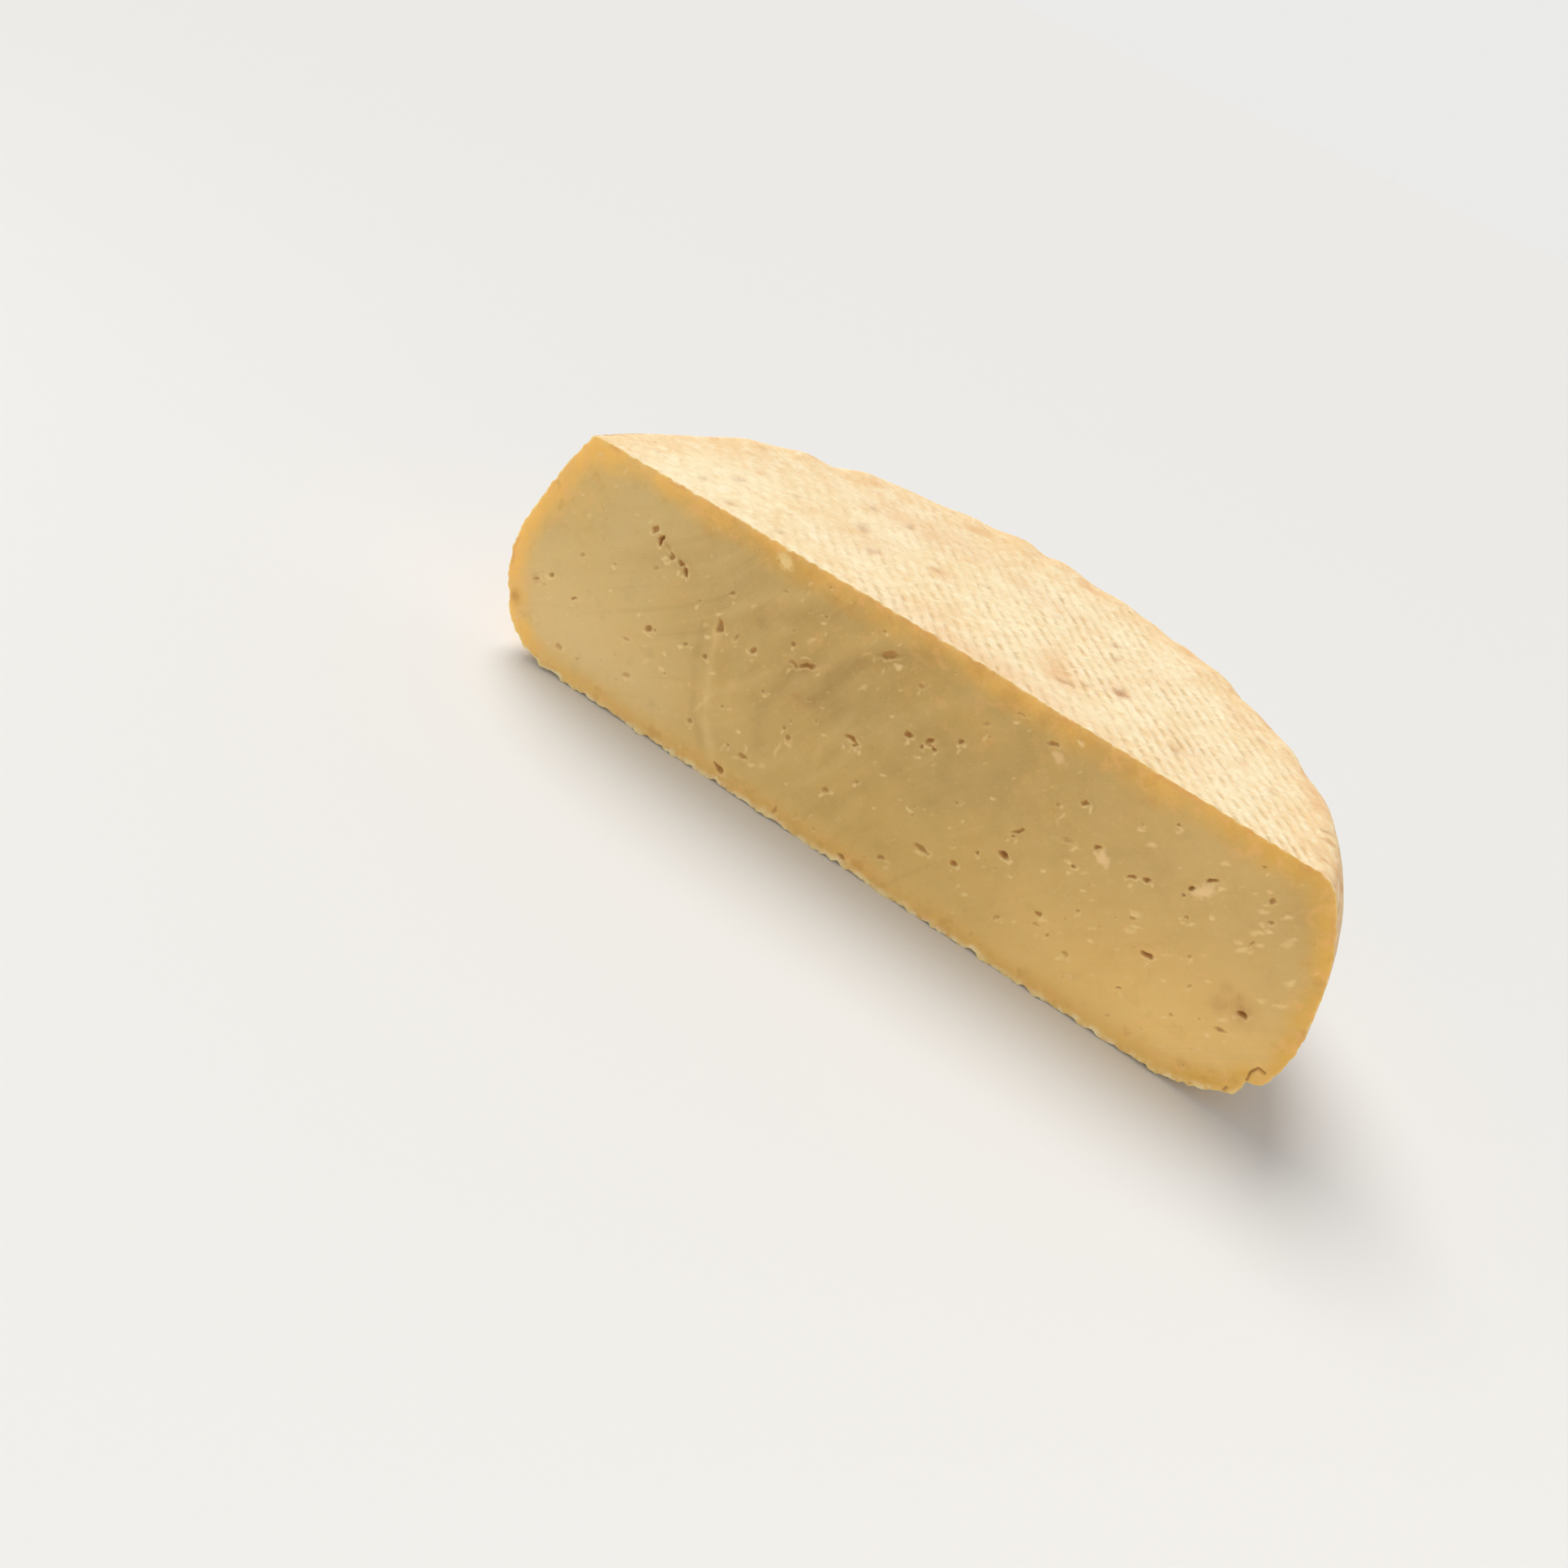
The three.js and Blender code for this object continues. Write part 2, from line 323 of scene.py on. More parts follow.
def triangulate(points, loop):
    """Triangles of a Delaunay mesh of 2-D points inside the closed loop of their first len(loop) points."""
    v = [Vector((float(p[0]), float(p[1]))) for p in points]
    out, _, faces, origin, _, _ = delaunay_2d_cdt(v, [], [list(loop)], 1, 1e-7)
    if len(out) != len(v):
        raise RuntimeError(f"meshing made {len(out)} points of {len(v)}")
    back = [o[0] for o in origin]
    return np.array([[back[k] for k in f] for f in faces if len(f) == 3], int)


def hexes(x0, x1, y0, y1, d, r):
    ys = np.arange(y0, y1, d * 0.866)
    rows = []
    for k, y in enumerate(ys):
        xs = np.arange(x0 + (k % 2) * d / 2, x1, d)
        rows.append(np.column_stack([xs, np.full(len(xs), y)]))
    P = np.vstack(rows)
    return P + r.uniform(-0.16, 0.16, P.shape) * d


def rows_fill(x_half, depth, steps, coarse, r, grow):
    """Interior points of a half disc in rows parallel to the cut, finer near it."""
    pts = []
    for k, y in enumerate(steps[1:]):
        d = min(coarse, max(0.5, (steps[k + 1] - steps[k]) * 1.1))
        half = x_half(y)
        n = max(2, int(2 * half / d))
        xs = (np.arange(n) + 0.5 * (1 + (k % 2) * 0.0) + (0.25 if k % 2 else -0.25)) * (2 * half / n) - half
        pts.append(np.column_stack([xs, np.full(n, y)]) + r.uniform(-0.14, 0.14, (n, 2)) * d)
    return np.vstack(pts)


rand = np.random.default_rng(2024)
ARC = math.pi * 122
theta_steps = graded(ARC, 0.5, 1.45, 1.16, True) / 122
n_theta = len(theta_steps)

verts, tris, mats = [], [], []                  # gathered mesh
attr = {k: [] for k in ("wu", "wv", "wk", "pit", "side", "stain", "spot", "ed", "hole", "light", "warm", "pink", "arc", "shade")}
count = 0


def add(P, **values):
    global count
    start = count
    verts.append(P)
    for k in attr:
        attr[k].append(np.asarray(values.get(k, np.zeros(len(P))), float))
    count += len(P)
    return start + np.arange(len(P))


# --- shared edges: top circle, bottom circle, the top and bottom lines of the cut, the two end profiles
def disc_point(x, y, top):
    """Smooth point of the upper or lower face over x, y."""
    th = np.arctan2(y, x)
    r = np.hypot(x, y)
    R, Z = edge_radius(th, top)
    flat = np.full(len(x), TOP if top else 0.0)
    w = smooth(0.80, 1.0, r / R)
    return np.column_stack([x, y, flat * (1 - w) + Z * w]), th


def place_disc(x, y, top):
    P, th = disc_point(x, y, top)
    n = len(P)
    return outer(P, np.zeros(n), np.full(n, 1.0 if top else -1.0), th, np.full(n, S_LEN if top else 0.0))


def add_outer(result):
    P, masks = result
    return add(P, **masks)


rt, zt = edge_radius(theta_steps, True)
rb, zb = edge_radius(theta_steps, False)
top_circle_xy = np.column_stack([rt * np.cos(theta_steps), rt * np.sin(theta_steps)])
bot_circle_xy = np.column_stack([rb * np.cos(theta_steps), rb * np.sin(theta_steps)])
top_circle_xy[[0, -1], 1] = 0
bot_circle_xy[[0, -1], 1] = 0
i_top = add_outer(place_disc(*top_circle_xy.T, True))
i_bot = add_outer(place_disc(*bot_circle_xy.T, False))
n_line = int((rt[0] + rt[-1]) / 0.52)
top_line_x = np.linspace(-rt[-1], rt[0], n_line + 1)[1:-1]
bot_line_x = np.linspace(-rb[-1], rb[0], int((rb[0] + rb[-1]) / 0.55) + 1)[1:-1]
i_tline = add_outer(place_disc(top_line_x, 0 * top_line_x, True))
i_bline = add_outer(place_disc(bot_line_x, 0 * bot_line_x, False))
s_ends = np.linspace(0, S_LEN, int(S_LEN / 0.55) + 1)[1:-1]


def place_rim(s, theta):
    r, z, nr, nz = rim(s, theta)
    P = np.column_stack([r * np.cos(theta), r * np.sin(theta), z])
    P[theta == 0, 1] = 0
    P[theta == np.pi, 1] = 0
    return outer(P, nr, nz, theta, s)


i_right = add_outer(place_rim(s_ends, np.zeros(len(s_ends))))
i_left = add_outer(place_rim(s_ends, np.full(len(s_ends), np.pi)))

# --- upper and lower faces
for top, circle, i_circle, line_x, i_line, coarse in (
        (True, top_circle_xy, i_top, top_line_x, i_tline, 0.98), (False, bot_circle_xy, i_bot, bot_line_x, i_bline, 1.9)):
    loop_xy = np.vstack([circle, np.column_stack([line_x, 0 * line_x])])
    loop_id = np.concatenate([i_circle, i_line])
    R = circle[:, 1].max()
    steps = graded(R - 0.5, 0.5, coarse, 1.13 if top else 1.2, False)

    def half_width(y, R=R, circle=circle):
        return float(np.sqrt(max(1.0, circle[0, 0] ** 2 * (1 - (y / (R + 0.01)) ** 2))))
    inner = rows_fill(half_width, R, steps, coarse, rand, 1.0)
    th = np.arctan2(inner[:, 1], inner[:, 0])
    rr, _ = edge_radius(th, top)
    margin = np.where((th < 0.05) | (th > 3.09), 0.35, 0.6 * coarse)
    keep = (np.hypot(*inner.T) < rr - margin) & (inner[:, 1] > 0.3)
    inner = inner[keep]
    i_in = add_outer(place_disc(*inner.T, top))
    pts = np.vstack([loop_xy, inner])
    ids = np.concatenate([loop_id, i_in])
    T = triangulate(pts, range(len(loop_xy)))
    T = ids[T]
    tris.append(T if top else T[:, ::-1])
    mats.append(np.zeros(len(T), int))

# --- rim
cols = []
for k in range(1, n_theta - 1):
    d = 122 * min(theta_steps[k] - theta_steps[k - 1], theta_steps[k + 1] - theta_steps[k])
    n = int(round(S_LEN / (d * 1.05)))
    s = (np.arange(n) + (0.3 if k % 2 else 0.7)) * S_LEN / n
    s = s[(s > 0.35 * d) & (s < S_LEN - 0.35 * d)]
    cols.append(np.column_stack([np.full(len(s), theta_steps[k]), s]))
inner = np.vstack(cols)
inner[:, 0] += rand.uniform(-0.12, 0.12, len(inner)) / 122 * np.interp(inner[:, 0] * 122, [0, 5, ARC - 5, ARC], [0.2, 1, 1, 0.2])
i_in = add_outer(place_rim(inner[:, 1], inner[:, 0]))
m = len(s_ends)
loop_uv = np.vstack([
    np.column_stack([theta_steps * 122, np.zeros(n_theta)]),
    np.column_stack([np.full(m, ARC), s_ends]),
    np.column_stack([theta_steps[::-1] * 122, np.full(n_theta, S_LEN)]),
    np.column_stack([np.zeros(m), s_ends[::-1]])])
loop_id = np.concatenate([i_bot, i_left, i_top[::-1], i_right[::-1]])
T = triangulate(np.vstack([loop_uv, np.column_stack([inner[:, 0] * 122, inner[:, 1]])]), range(len(loop_uv)))
T = np.concatenate([loop_id, i_in])[T]
tris.append(T)
mats.append(np.zeros(len(T), int))

# ------------------------------------------------------------------ the cut face
# openings in the paste: x, z, length, width, turn in degrees, depth, how dark (0 to 1); the darkness is partly the
# hollow's brown and partly painted shade in it
OPENINGS = [
    (-84.5, 56.0, 3.2, 2.1, 60, 1.5, .75), (-81.6, 54.2, 3.4, 2.0, 80, 2.8, 1), (-77.0, 51.6, 2.4, 2.0, 90, 1.6, .6),
    (-73.6, 51.3, 3.0, 1.3, -10, 2.0, .8), (-71.6, 49.9, 2.9, 1.4, -55, 2.4, .95), (-78.6, 53.2, 4.2, 1.0, -35, 0.6, .25),
    (-56.5, 41.7, 4.4, 3.0, 95, 2.0, .72), (-44.7, 41.0, 2.2, 1.8, 60, 1.6, .65), (-29.4, 45.4, 6.2, 1.8, 28, 2.0, .78),
    (-33.2, 44.0, 3.6, 1.0, -15, 1.0, .4), (-10.4, 60.2, 7.6, 2.3, 34, 1.6, .58), (-10.0, 34.2, 5.2, 1.6, -6, 2.0, .8),
    (-7.9, 33.3, 2.2, 1.4, 60, 1.4, .6), (-40.2, 4.8, 5.2, 1.9, -22, 2.0, .8), (-20.5, 3.6, 4.4, 1.9, 88, 0.9, .35),
    (3.8, 44.2, 2.3, 2.1, 0, 1.8, .9), (9.6, 45.5, 3.2, 2.1, 40, 1.9, .85), (11.2, 44.6, 2.2, 1.5, -30, 1.6, .8),
    (8.4, 43.4, 1.7, 1.2, 80, 1.4, .7), (16.9, 50.1, 2.1, 1.5, 70, 1.6, .7), (37.7, 62.9, 4.2, 1.3, 12, 1.3, .6),
    (51.7, 54.0, 2.3, 1.5, 20, 1.5, .7), (60.2, 45.7, 2.7, 1.3, 15, 1.7, .8), (41.0, 37.6, 3.6, 1.2, 44, 1.6, .7),
    (40.4, 35.6, 1.1, 1.0, 0, 1.0, .6), (57.2, 37.5, 2.2, 1.5, 10, 1.5, .65), (40.5, 29.6, 3.8, 2.1, -4, 3.0, 1),
    (34.4, 26.1, 1.3, 1.1, 0, 1.2, .7), (30.2, 19.8, 2.3, 2.0, 0, 1.9, .8), (20.5, 18.2, 5.4, 1.6, -8, 1.5, .6),
    (55.7, 21.0, 2.1, 1.4, 10, 1.4, .65), (12.5, 9.2, 3.2, 1.5, 5, 1.2, .5), (2.5, 2.6, 3.2, 1.4, 0, 1.4, .6),
    (102.0, 58.0, 2.1, 1.5, 30, 1.3, .6), (87.9, 54.0, 3.8, 1.2, 36, 2.0, .9), (84.7, 49.4, 2.2, 1.4, 50, 2.0, .9),
    (83.9, 46.9, 1.4, 1.1, 0, 1.4, .75), (74.4, 45.0, 2.3, 1.5, 28, 1.9, .9), (71.0, 43.7, 3.2, 1.1, 30, 1.3, .7),
    (87.4, 42.2, 1.8, 1.0, 20, 1.1, .55), (84.0, 27.5, 4.3, 1.5, 8, 2.8, .95), (111.1, 28.1, 3.2, 2.0, 6, 3.2, 1),
    (109.0, 21.0, 5.0, 1.2, 15, 1.0, .45), (82.5, 15.2, 2.2, 1.0, 45, 1.1, .5), (66.5, 15.0, 2.6, 2.0, 20, 0.8, .35),
    (-99.7, 9.2, 3.6, 2.4, 10, 0.9, .3), (-109.4, 27.4, 1.9, 1.7, 0, 1.3, .6), (-113.7, 23.5, 2.6, 1.4, 20, 1.0, .5),
    (-100.5, 24.8, 2.6, 1.2, 15, 1.3, .6), (-75.8, 29.3, 2.6, 1.8, 50, 1.7, .7), (-73.7, 30.2, 1.2, 1.0, 0, 1.0, .5),
    (-80.8, 23.0, 3.1, 1.4, 10, 0.8, .35), (-76.7, 13.2, 4.0, 2.0, 0, 0.7, .3), (-102.5, 37.8, 2.1, 1.4, 30, 0.8, .35),
    (-56.7, 51.7, 2.7, 1.0, 20, 1.1, .5), (-50.5, 41.5, 3.0, 1.4, 70, 0.8, .4), (-35.2, 48.7, 1.6, 1.4, 0, 1.3, .6),
    (-37.5, 32.2, 1.1, 1.0, 0, 0.9, .5), (-64.0, 31.5, 2.2, 1.7, 30, 1.1, .45), (-57.0, 31.5, 2.2, 1.4, 0, 1.2, .55),
    (-25.7, 24.5, 1.9, 1.6, 30, 1.3, .6), (-27.7, 26.2, 1.3, 1.0, 0, 1.0, .5), (-10.0, 17.2, 2.6, 2.0, 30, 1.1, .45),
    (-53.7, 12.2, 2.1, 1.7, 0, 1.0, .45), (-35.2, 12.0, 3.5, 1.4, 10, 1.1, .5), (-40.5, 12.5, 1.3, 1.1, 0, 0.9, .45),
    (-30.0, 60.2, 1.4, 1.1, 0, 0.9, .5), (-32.2, 67.6, 1.3, 0.9, 0, 0.7, .4), (-14.0, 65.2, 1.4, 1.0, 0, 0.8, .4),
    (27.0, 65.2, 3.1, 1.0, 5, 0.7, .35), (46.2, 49.7, 1.6, 1.2, 0, 0.8, .4), (52.5, 43.0, 4.0, 1.8, 20, 0.6, .25),
    (47.0, 13.2, 3.1, 1.1, 30, 0.8, .35), (56.7, 18.0, 4.0, 1.0, 10, 0.7, .3), (0.7, 57.5, 2.1, 1.4, 0, 0.8, .35),
    (73.9, 61.8, 1.2, 1.0, 0, 1.0, .55), (96.2, 64.2, 1.5, 1.0, 0, 0.8, .4), (104.5, 52.7, 1.7, 1.3, 30, 1.1, .55),
    (103.5, 45.5, 2.6, 0.8, 75, 0.9, .45), (76.5, 34.4, 3.0, 0.8, 12, 0.9, .45), (-64.5, 44.8, 1.2, 1.0, 0, 0.8, .4),
    (22.8, 55.6, 1.3, 1.0, 30, 0.7, .35), (66.5, 57.2, 1.4, 0.9, 10, 0.7, .35), (-92.0, 40.5, 1.3, 1.0, 0, 0.7, .35),
    (93.0, 33.5, 1.6, 1.0, 20, 0.9, .4), (97.2, 17.0, 1.8, 1.1, 10, 0.8, .4), (23.4, 34.8, 1.4, 1.0, 10, 0.8, .4),
    (-3.0, 24.5, 1.5, 1.1, 0, 0.8, .4), (64.0, 27.8, 1.6, 1.0, 20, 0.8, .4), (-66.0, 20.4, 1.3, 1.0, 0, 0.8, .4),
    (-46.5, 21.5, 1.5, 1.1, 40, 0.8, .4), (14.0, 27.6, 1.2, 0.9, 0, 0.7, .35),
]
# pale flakes and smears of paste, those beside openings pale partly from painted highlight: x, z, length, width, turn,
# how far proud, pinkness
FLAKES = [
    (-46.2, 67.3, 6.6, 4.0, -25, 0.45, 0.1), (-6.7, 58.7, 2.6, 2.0, 30, 0.25, 0.3), (40.2, 60.6, 4.8, 3.0, -20, 0.06, 0.55),
    (62.6, 43.8, 4.8, 3.9, -60, 0.28, 0.8), (87.3, 50.6, 7.0, 3.6, 44, 0.34, 0.75), (-58.5, 37.0, 2.2, 1.3, 40, 0.2, 0.1),
    (-46.0, 39.4, 2.2, 1.2, -20, 0.25, 0.1), (-53.0, 28.5, 2.4, 1.2, 60, 0.2, 0.1), (-39.2, 17.7, 1.9, 1.5, 0, 0.25, 0.1),
    (-32.0, 11.2, 2.4, 1.5, 20, 0.25, 0.1), (-7.7, 17.4, 2.0, 1.2, 40, 0.2, 0.1), (43.5, 67.0, 2.2, 1.4, -20, 0.25, 0.5),
    (48.7, 47.5, 3.0, 0.8, 70, 0.15, 0.1), (51.2, 32.0, 2.2, 1.2, 10, 0.2, 0.1), (31.0, 41.5, 2.0, 1.2, 30, 0.2, 0.1),
    (9.0, 40.3, 2.6, 1.2, 20, 0.25, 0.1), (17.6, 47.8, 2.4, 0.9, 80, 0.2, 0.1), (107.2, 56.5, 2.6, 1.4, 10, 0.2, 0.2),
    (103.5, 49.2, 2.2, 1.2, 20, 0.2, 0.2), (102.5, 43.2, 2.6, 0.8, 70, 0.15, 0.1), (113.2, 34.0, 2.4, 0.9, 60, 0.2, 0.1),
    (116.2, 35.0, 2.4, 0.8, 60, 0.2, 0.1), (116.2, 42.5, 2.6, 0.8, 65, 0.2, 0.1), (-2.2, 46.0, 1.8, 1.2, 0, 0.2, 0.1),
    (78.5, 32.7, 3.2, 1.4, 10, 0.2, 0.2), (76.5, 35.4, 3.2, 0.8, 10, 0.2, 0.2), (-86.6, 56.6, 2.0, 1.2, 60, 0.2, 0.1),
    (-27.0, 19.5, 6.0, 1.2, 88, 0.12, 0.0), (-52.0, 20.0, 10.0, 1.2, 68, 0.10, 0.0), (-79.8, 31.4, 1.8, 1.2, 50, 0.2, 0.0),
    (-57.6, 44.6, 2.4, 1.0, 60, 0.2, 0.0), (92.5, 45.8, 2.0, 1.4, 30, 0.2, 0.3), (20.6, 16.6, 3.6, 1.0, 0, 0.2, 0.1),
    (60.4, 43.9, 2.0, 1.2, 0, 0.2, 0.4), (-30.4, 47.0, 3.6, 0.9, 28, 0.15, 0.1), (36.6, 13.6, 2.0, 1.1, 20, 0.2, 0.0),
    (70.6, 22.4, 2.4, 1.0, 15, 0.2, 0.0), (91.2, 24.0, 2.2, 1.0, 20, 0.2, 0.0), (100.0, 30.6, 2.4, 1.1, 30, 0.2, 0.1),
    (-90.5, 33.2, 1.8, 1.0, 30, 0.15, 0.0), (-68.2, 25.6, 1.6, 1.1, 0, 0.2, 0.0), (-16.6, 30.8, 1.8, 1.0, 30, 0.2, 0.0),
    (2.6, 30.2, 2.0, 1.0, 20, 0.2, 0.0), (27.0, 31.6, 1.8, 1.0, 60, 0.2, 0.0), (45.0, 25.4, 1.8, 1.1, 0, 0.2, 0.0),
    (62.6, 33.4, 2.0, 1.0, 30, 0.2, 0.1), (4.5, 20.6, 1.8, 1.1, 10, 0.2, 0.0), (-20.4, 12.2, 1.8, 1.2, 0, 0.2, 0.0),
]
# groups of pale smears left by the knife: x, z, how many lie one above the other
SMEARS = [(100.6, 54.5, 1), (107.1, 56.6, 1), (110.7, 50.9, 2), (102.1, 43.3, 2), (103.8, 48.4, 1), (113.7, 34.1, 1), (116.8, 36.0, 1),
          (116.4, 41.7, 1), (77.1, 35.8, 1), (77.6, 31.6, 2), (57.2, 19.9, 1), (88.4, 59.6, 1), (108.8, 24.0, 1), (71.0, 53.8, 1)]
# warm brown stains in the paste round some openings: x, z, radius, strength
STAINS = [(105.5, 27.2, 2.4, .5), (108.6, 30.8, 1.8, .5), (104.6, 31.8, 1.6, .35), (111.0, 28.6, 3.0, .6), (-28.0, 36.0, 2.6, .45),
          (-29.0, 45.2, 2.4, .4), (-118.0, 15.2, 2.0, .8), (-114.0, 23.5, 1.6, .35), (-81.6, 54.2, 2.0, .3), (-72, 50.6, 2.2, .3)]

_xs = np.arange(-150.0, 151.0, 1.0)
_phi = np.interp(_xs, [-120, -60, -40, -10, 20, 60, 120], [30, 36, 58, 64, 50, 39, 33])
_k = np.exp(-(np.arange(-30, 31) / 11.0) ** 2)
_phi = np.convolve(np.pad(_phi, 30, mode="edge"), _k / _k.sum(), "valid")


def drag_turn(x):
    """Direction of the knife's drag in the cut's plane, degrees up from +x."""
    return np.interp(x, _xs, _phi)


def drag_arc(P):
    """Coordinate that stays the same along a drag mark; the marks curve from one end of the face to the other."""
    return P[:, 0] - (P[:, 1] - 35) / np.tan(np.radians(drag_turn(P[:, 0])))


# single drag marks: points x, z along the mark, half width, how light (below 0 dark), how far raised; the lighter and
# darker colour is painted highlight and painted shade along the folds
MARKS = [
    ([(-57, 42), (-54.5, 30), (-50, 16), (-43, 6)], 1.2, 0.34, 0.10), ([(-61, 40), (-59, 28), (-54, 15), (-48, 8)], 1.2, -0.20, -0.08),
    ([(-2, 65), (-14, 58), (-20, 48), (-23, 38)], 3.0, -0.36, -0.18), ([(-8, 65), (-20, 58), (-26, 47), (-29, 37)], 2.6, 0.20, 0.14),
    ([(-33, 64), (-45, 58), (-52, 51), (-57, 44)], 1.8, 0.18, 0.12), ([(-28, 61), (-40, 55), (-48, 48)], 2.2, -0.18, -0.10),
    ([(-38, 52), (-44, 44), (-47, 34), (-46, 24)], 1.4, 0.18, 0.08), ([(-26, 50), (-33, 40), (-36, 28), (-33, 17)], 2.0, -0.18, -0.08),
    ([(14, 62), (5, 52), (0, 40)], 1.8, 0.14, 0.07), ([(34, 52), (24, 42), (18, 31)], 1.8, -0.12, -0.06),
    ([(-84, 50), (-98, 42), (-110, 34)], 1.8, 0.10, 0.05), ([(-12, 40), (-16, 28), (-15, 16)], 1.2, 0.18, 0.07),
    ([(-66, 58), (-78, 50), (-90, 45)], 2.0, -0.12, -0.06), ([(6, 34), (-2, 24), (-6, 12)], 2.0, -0.12, -0.06),
]
# thin cracks in the paste: points x, z along the crack, half width, depth, how dark; the darkness is partly painted
# shade in the crack
CRACKS = [
    ([(121.6, 9.6), (121.1, 12.4), (120.5, 15.6), (121.5, 17.7), (123.4, 17.6)], 0.36, 1.0, 0.52),
    ([(117.6, 6.4), (118.0, 8.0)], 0.40, 0.8, 0.5),
]


r2 = np.random.default_rng(91)
small = []
while len(small) < 120:                          # pinholes, kept a little in from the rind and clear of the openings and of each other
    x, z = r2.uniform(-118, 120), r2.uniform(2.5, 67.5)
    size = float(np.clip(r2.lognormal(-0.30, 0.36), 0.45, 1.5))
    if any((x - a) ** 2 + (z - b) ** 2 < ((c + size) / 2 + 0.7) ** 2 for a, b, c, *_ in OPENINGS + small):
        continue
    small.append((x, z, size * r2.uniform(1.0, 2.0), size * 0.75, drag_turn(x) + r2.uniform(-35, 35), size * r2.uniform(0.3, 0.6),
                  r2.uniform(.08, .36)))
r3 = np.random.default_rng(92)
specks = []
# pale specks beside each opening, mostly below and to the right: small raised flakes whose paleness is partly painted
# highlight on the opening's lower, lit side
for (x, z, L, W, turn, depth, dark) in OPENINGS:
    for k in range(int(r3.integers(1, 4)) if dark > 0.4 else 1):
        t = math.radians(-56 + r3.normal(0, 55))
        d = L * 0.42 + r3.uniform(0.5, 1.5)
        cx, cz = x + d * math.cos(t), z + d * math.sin(t)
        if not (-116 < cx < 119 and 2.5 < cz < 67.5):
            continue
        if any((cx - a) ** 2 + (cz - b) ** 2 < (c / 2 + 0.35) ** 2 for a, b, c, *_ in OPENINGS + FLAKES + specks):
            continue
        size = r3.uniform(0.8, 1.95)
        specks.append((cx, cz, size * r3.uniform(1.0, 1.8), size * 0.7, drag_turn(cx) + r3.uniform(-60, 60), r3.uniform(0.10, 0.26),
                       r3.uniform(0, .45)))
for (gx, gz, n_) in SMEARS:                      # groups of long pale smears, one above the other
    for k in range(n_):
        size = float(r3.uniform(1.6, 2.5))
        off = (k - (n_ - 1) / 2) * 2.3
        cx, cz = gx + off * 0.55 + r3.uniform(-1.1, 1.1), gz - off * 0.83 + r3.uniform(-0.3, 0.3)
        specks.append((cx, cz, size * r3.uniform(1.2, 1.9), size * 0.72, 33 + r3.uniform(-12, 12), r3.uniform(0.07, 0.15), r3.uniform(0, .3)))
top_up = len(specks) + 95
while len(specks) < top_up:
    x, z = r3.uniform(-116, 120), r3.uniform(3, 67)
    size = float(np.clip(r3.lognormal(0.16, 0.34), 0.7, 2.4))
    if any((x - a) ** 2 + (z - b) ** 2 < ((c + size) / 2 + 0.4) ** 2 for a, b, c, *_ in OPENINGS + FLAKES + small + specks):
        continue
    specks.append((x, z, size * r3.uniform(1.1, 2.2), size * 0.62, drag_turn(x) + r3.uniform(-22, 22), r3.uniform(0.03, 0.10),
                   r3.uniform(0, .3)))
ALL_HOLES, ALL_FLAKES = OPENINGS + small, FLAKES + specks

loop_id = np.concatenate([i_right, i_top[:1], i_tline[::-1], i_top[-1:], i_left[::-1], i_bot[-1:], i_bline, i_bot[:1]])
everything = np.vstack(verts)
loop_xz = everything[loop_id][:, [0, 2]]
# a few outline points may sit on the floor together; stop if two follow each other too closely to keep the polygon
# simple
gap = np.hypot(*(loop_xz - np.roll(loop_xz, 1, 0)).T)
if gap.min() < 0.02:
    raise RuntimeError(f"outline points too close: {gap.min():.4f}")


def segment_distance(P, A, B, reach=9.0):
    """Distance from each point to the nearest segment, no more than reach."""
    out = np.full(len(P), reach)
    d = B - A
    L2 = (d**2).sum(1)
    for k0 in range(0, len(A), 40):
        a, dd, l2 = A[k0:k0 + 40], d[k0:k0 + 40], L2[k0:k0 + 40]
        lo2, hi2 = a.min(0) - reach - 2, a.max(0) + reach + 2
        near = np.where(((P > lo2) & (P < hi2)).all(1))[0]
        if not len(near):
            continue
        Q = P[near][:, None, :] - a[None]
        t = np.clip((Q * dd[None]).sum(2) / l2[None], 0, 1)
        e = Q - t[..., None] * dd[None]
        out[near] = np.minimum(out[near], np.sqrt((e**2).sum(2).min(1)))
    return out


def inside(P, poly):
    x, y = P.T
    res = np.zeros(len(P), bool)
    a, b = poly, np.roll(poly, -1, 0)
    for (x1, y1), (x2, y2) in zip(a, b):
        if y1 == y2:
            continue
        m_ = ((y1 > y) != (y2 > y))
        res ^= m_ & (x < (x2 - x1) * (y - y1) / (y2 - y1) + x1)
    return res


base = hexes(-128, 129, -1, 73, 1.18, rand)
fine = []
taken = np.zeros(len(base), bool)
_ed = segment_distance(base, loop_xz, np.roll(loop_xz, -1, 0))
base = base[_ed > 1.9]
edge = hexes(-128, 129, -1, 73, 0.56, rand)
_ed = segment_distance(edge, loop_xz, np.roll(loop_xz, -1, 0), 3.0)
base = np.vstack([base, edge[_ed < 1.75]])
taken = np.zeros(len(base), bool)
_line = np.array(CRACKS[0][0])
for (x, z) in _line:
    fine.append((x, z, 1.3, hexes(x - 1.3, x + 1.3, z - 1.3, z + 1.3, 0.34, rand)))
    fine[-1] = fine[-1][:3] + (fine[-1][3][((fine[-1][3] - (x, z)) ** 2).sum(1) < 1.3**2],)
    taken |= ((base - (x, z)) ** 2).sum(1) < 1.3**2
for (x, z, L, W, *_ ) in ALL_HOLES + ALL_FLAKES:
    rad = L / 2 + 0.75
    d = 0.36 if L > 1.9 else 0.42
    near = ((base - (x, z)) ** 2).sum(1) < rad**2
    taken |= near
    h = hexes(x - rad, x + rad, z - rad, z + rad, d, rand)
    h = h[((h - (x, z)) ** 2).sum(1) < rad**2]
    fine.append((x, z, rad, h))
kept = []
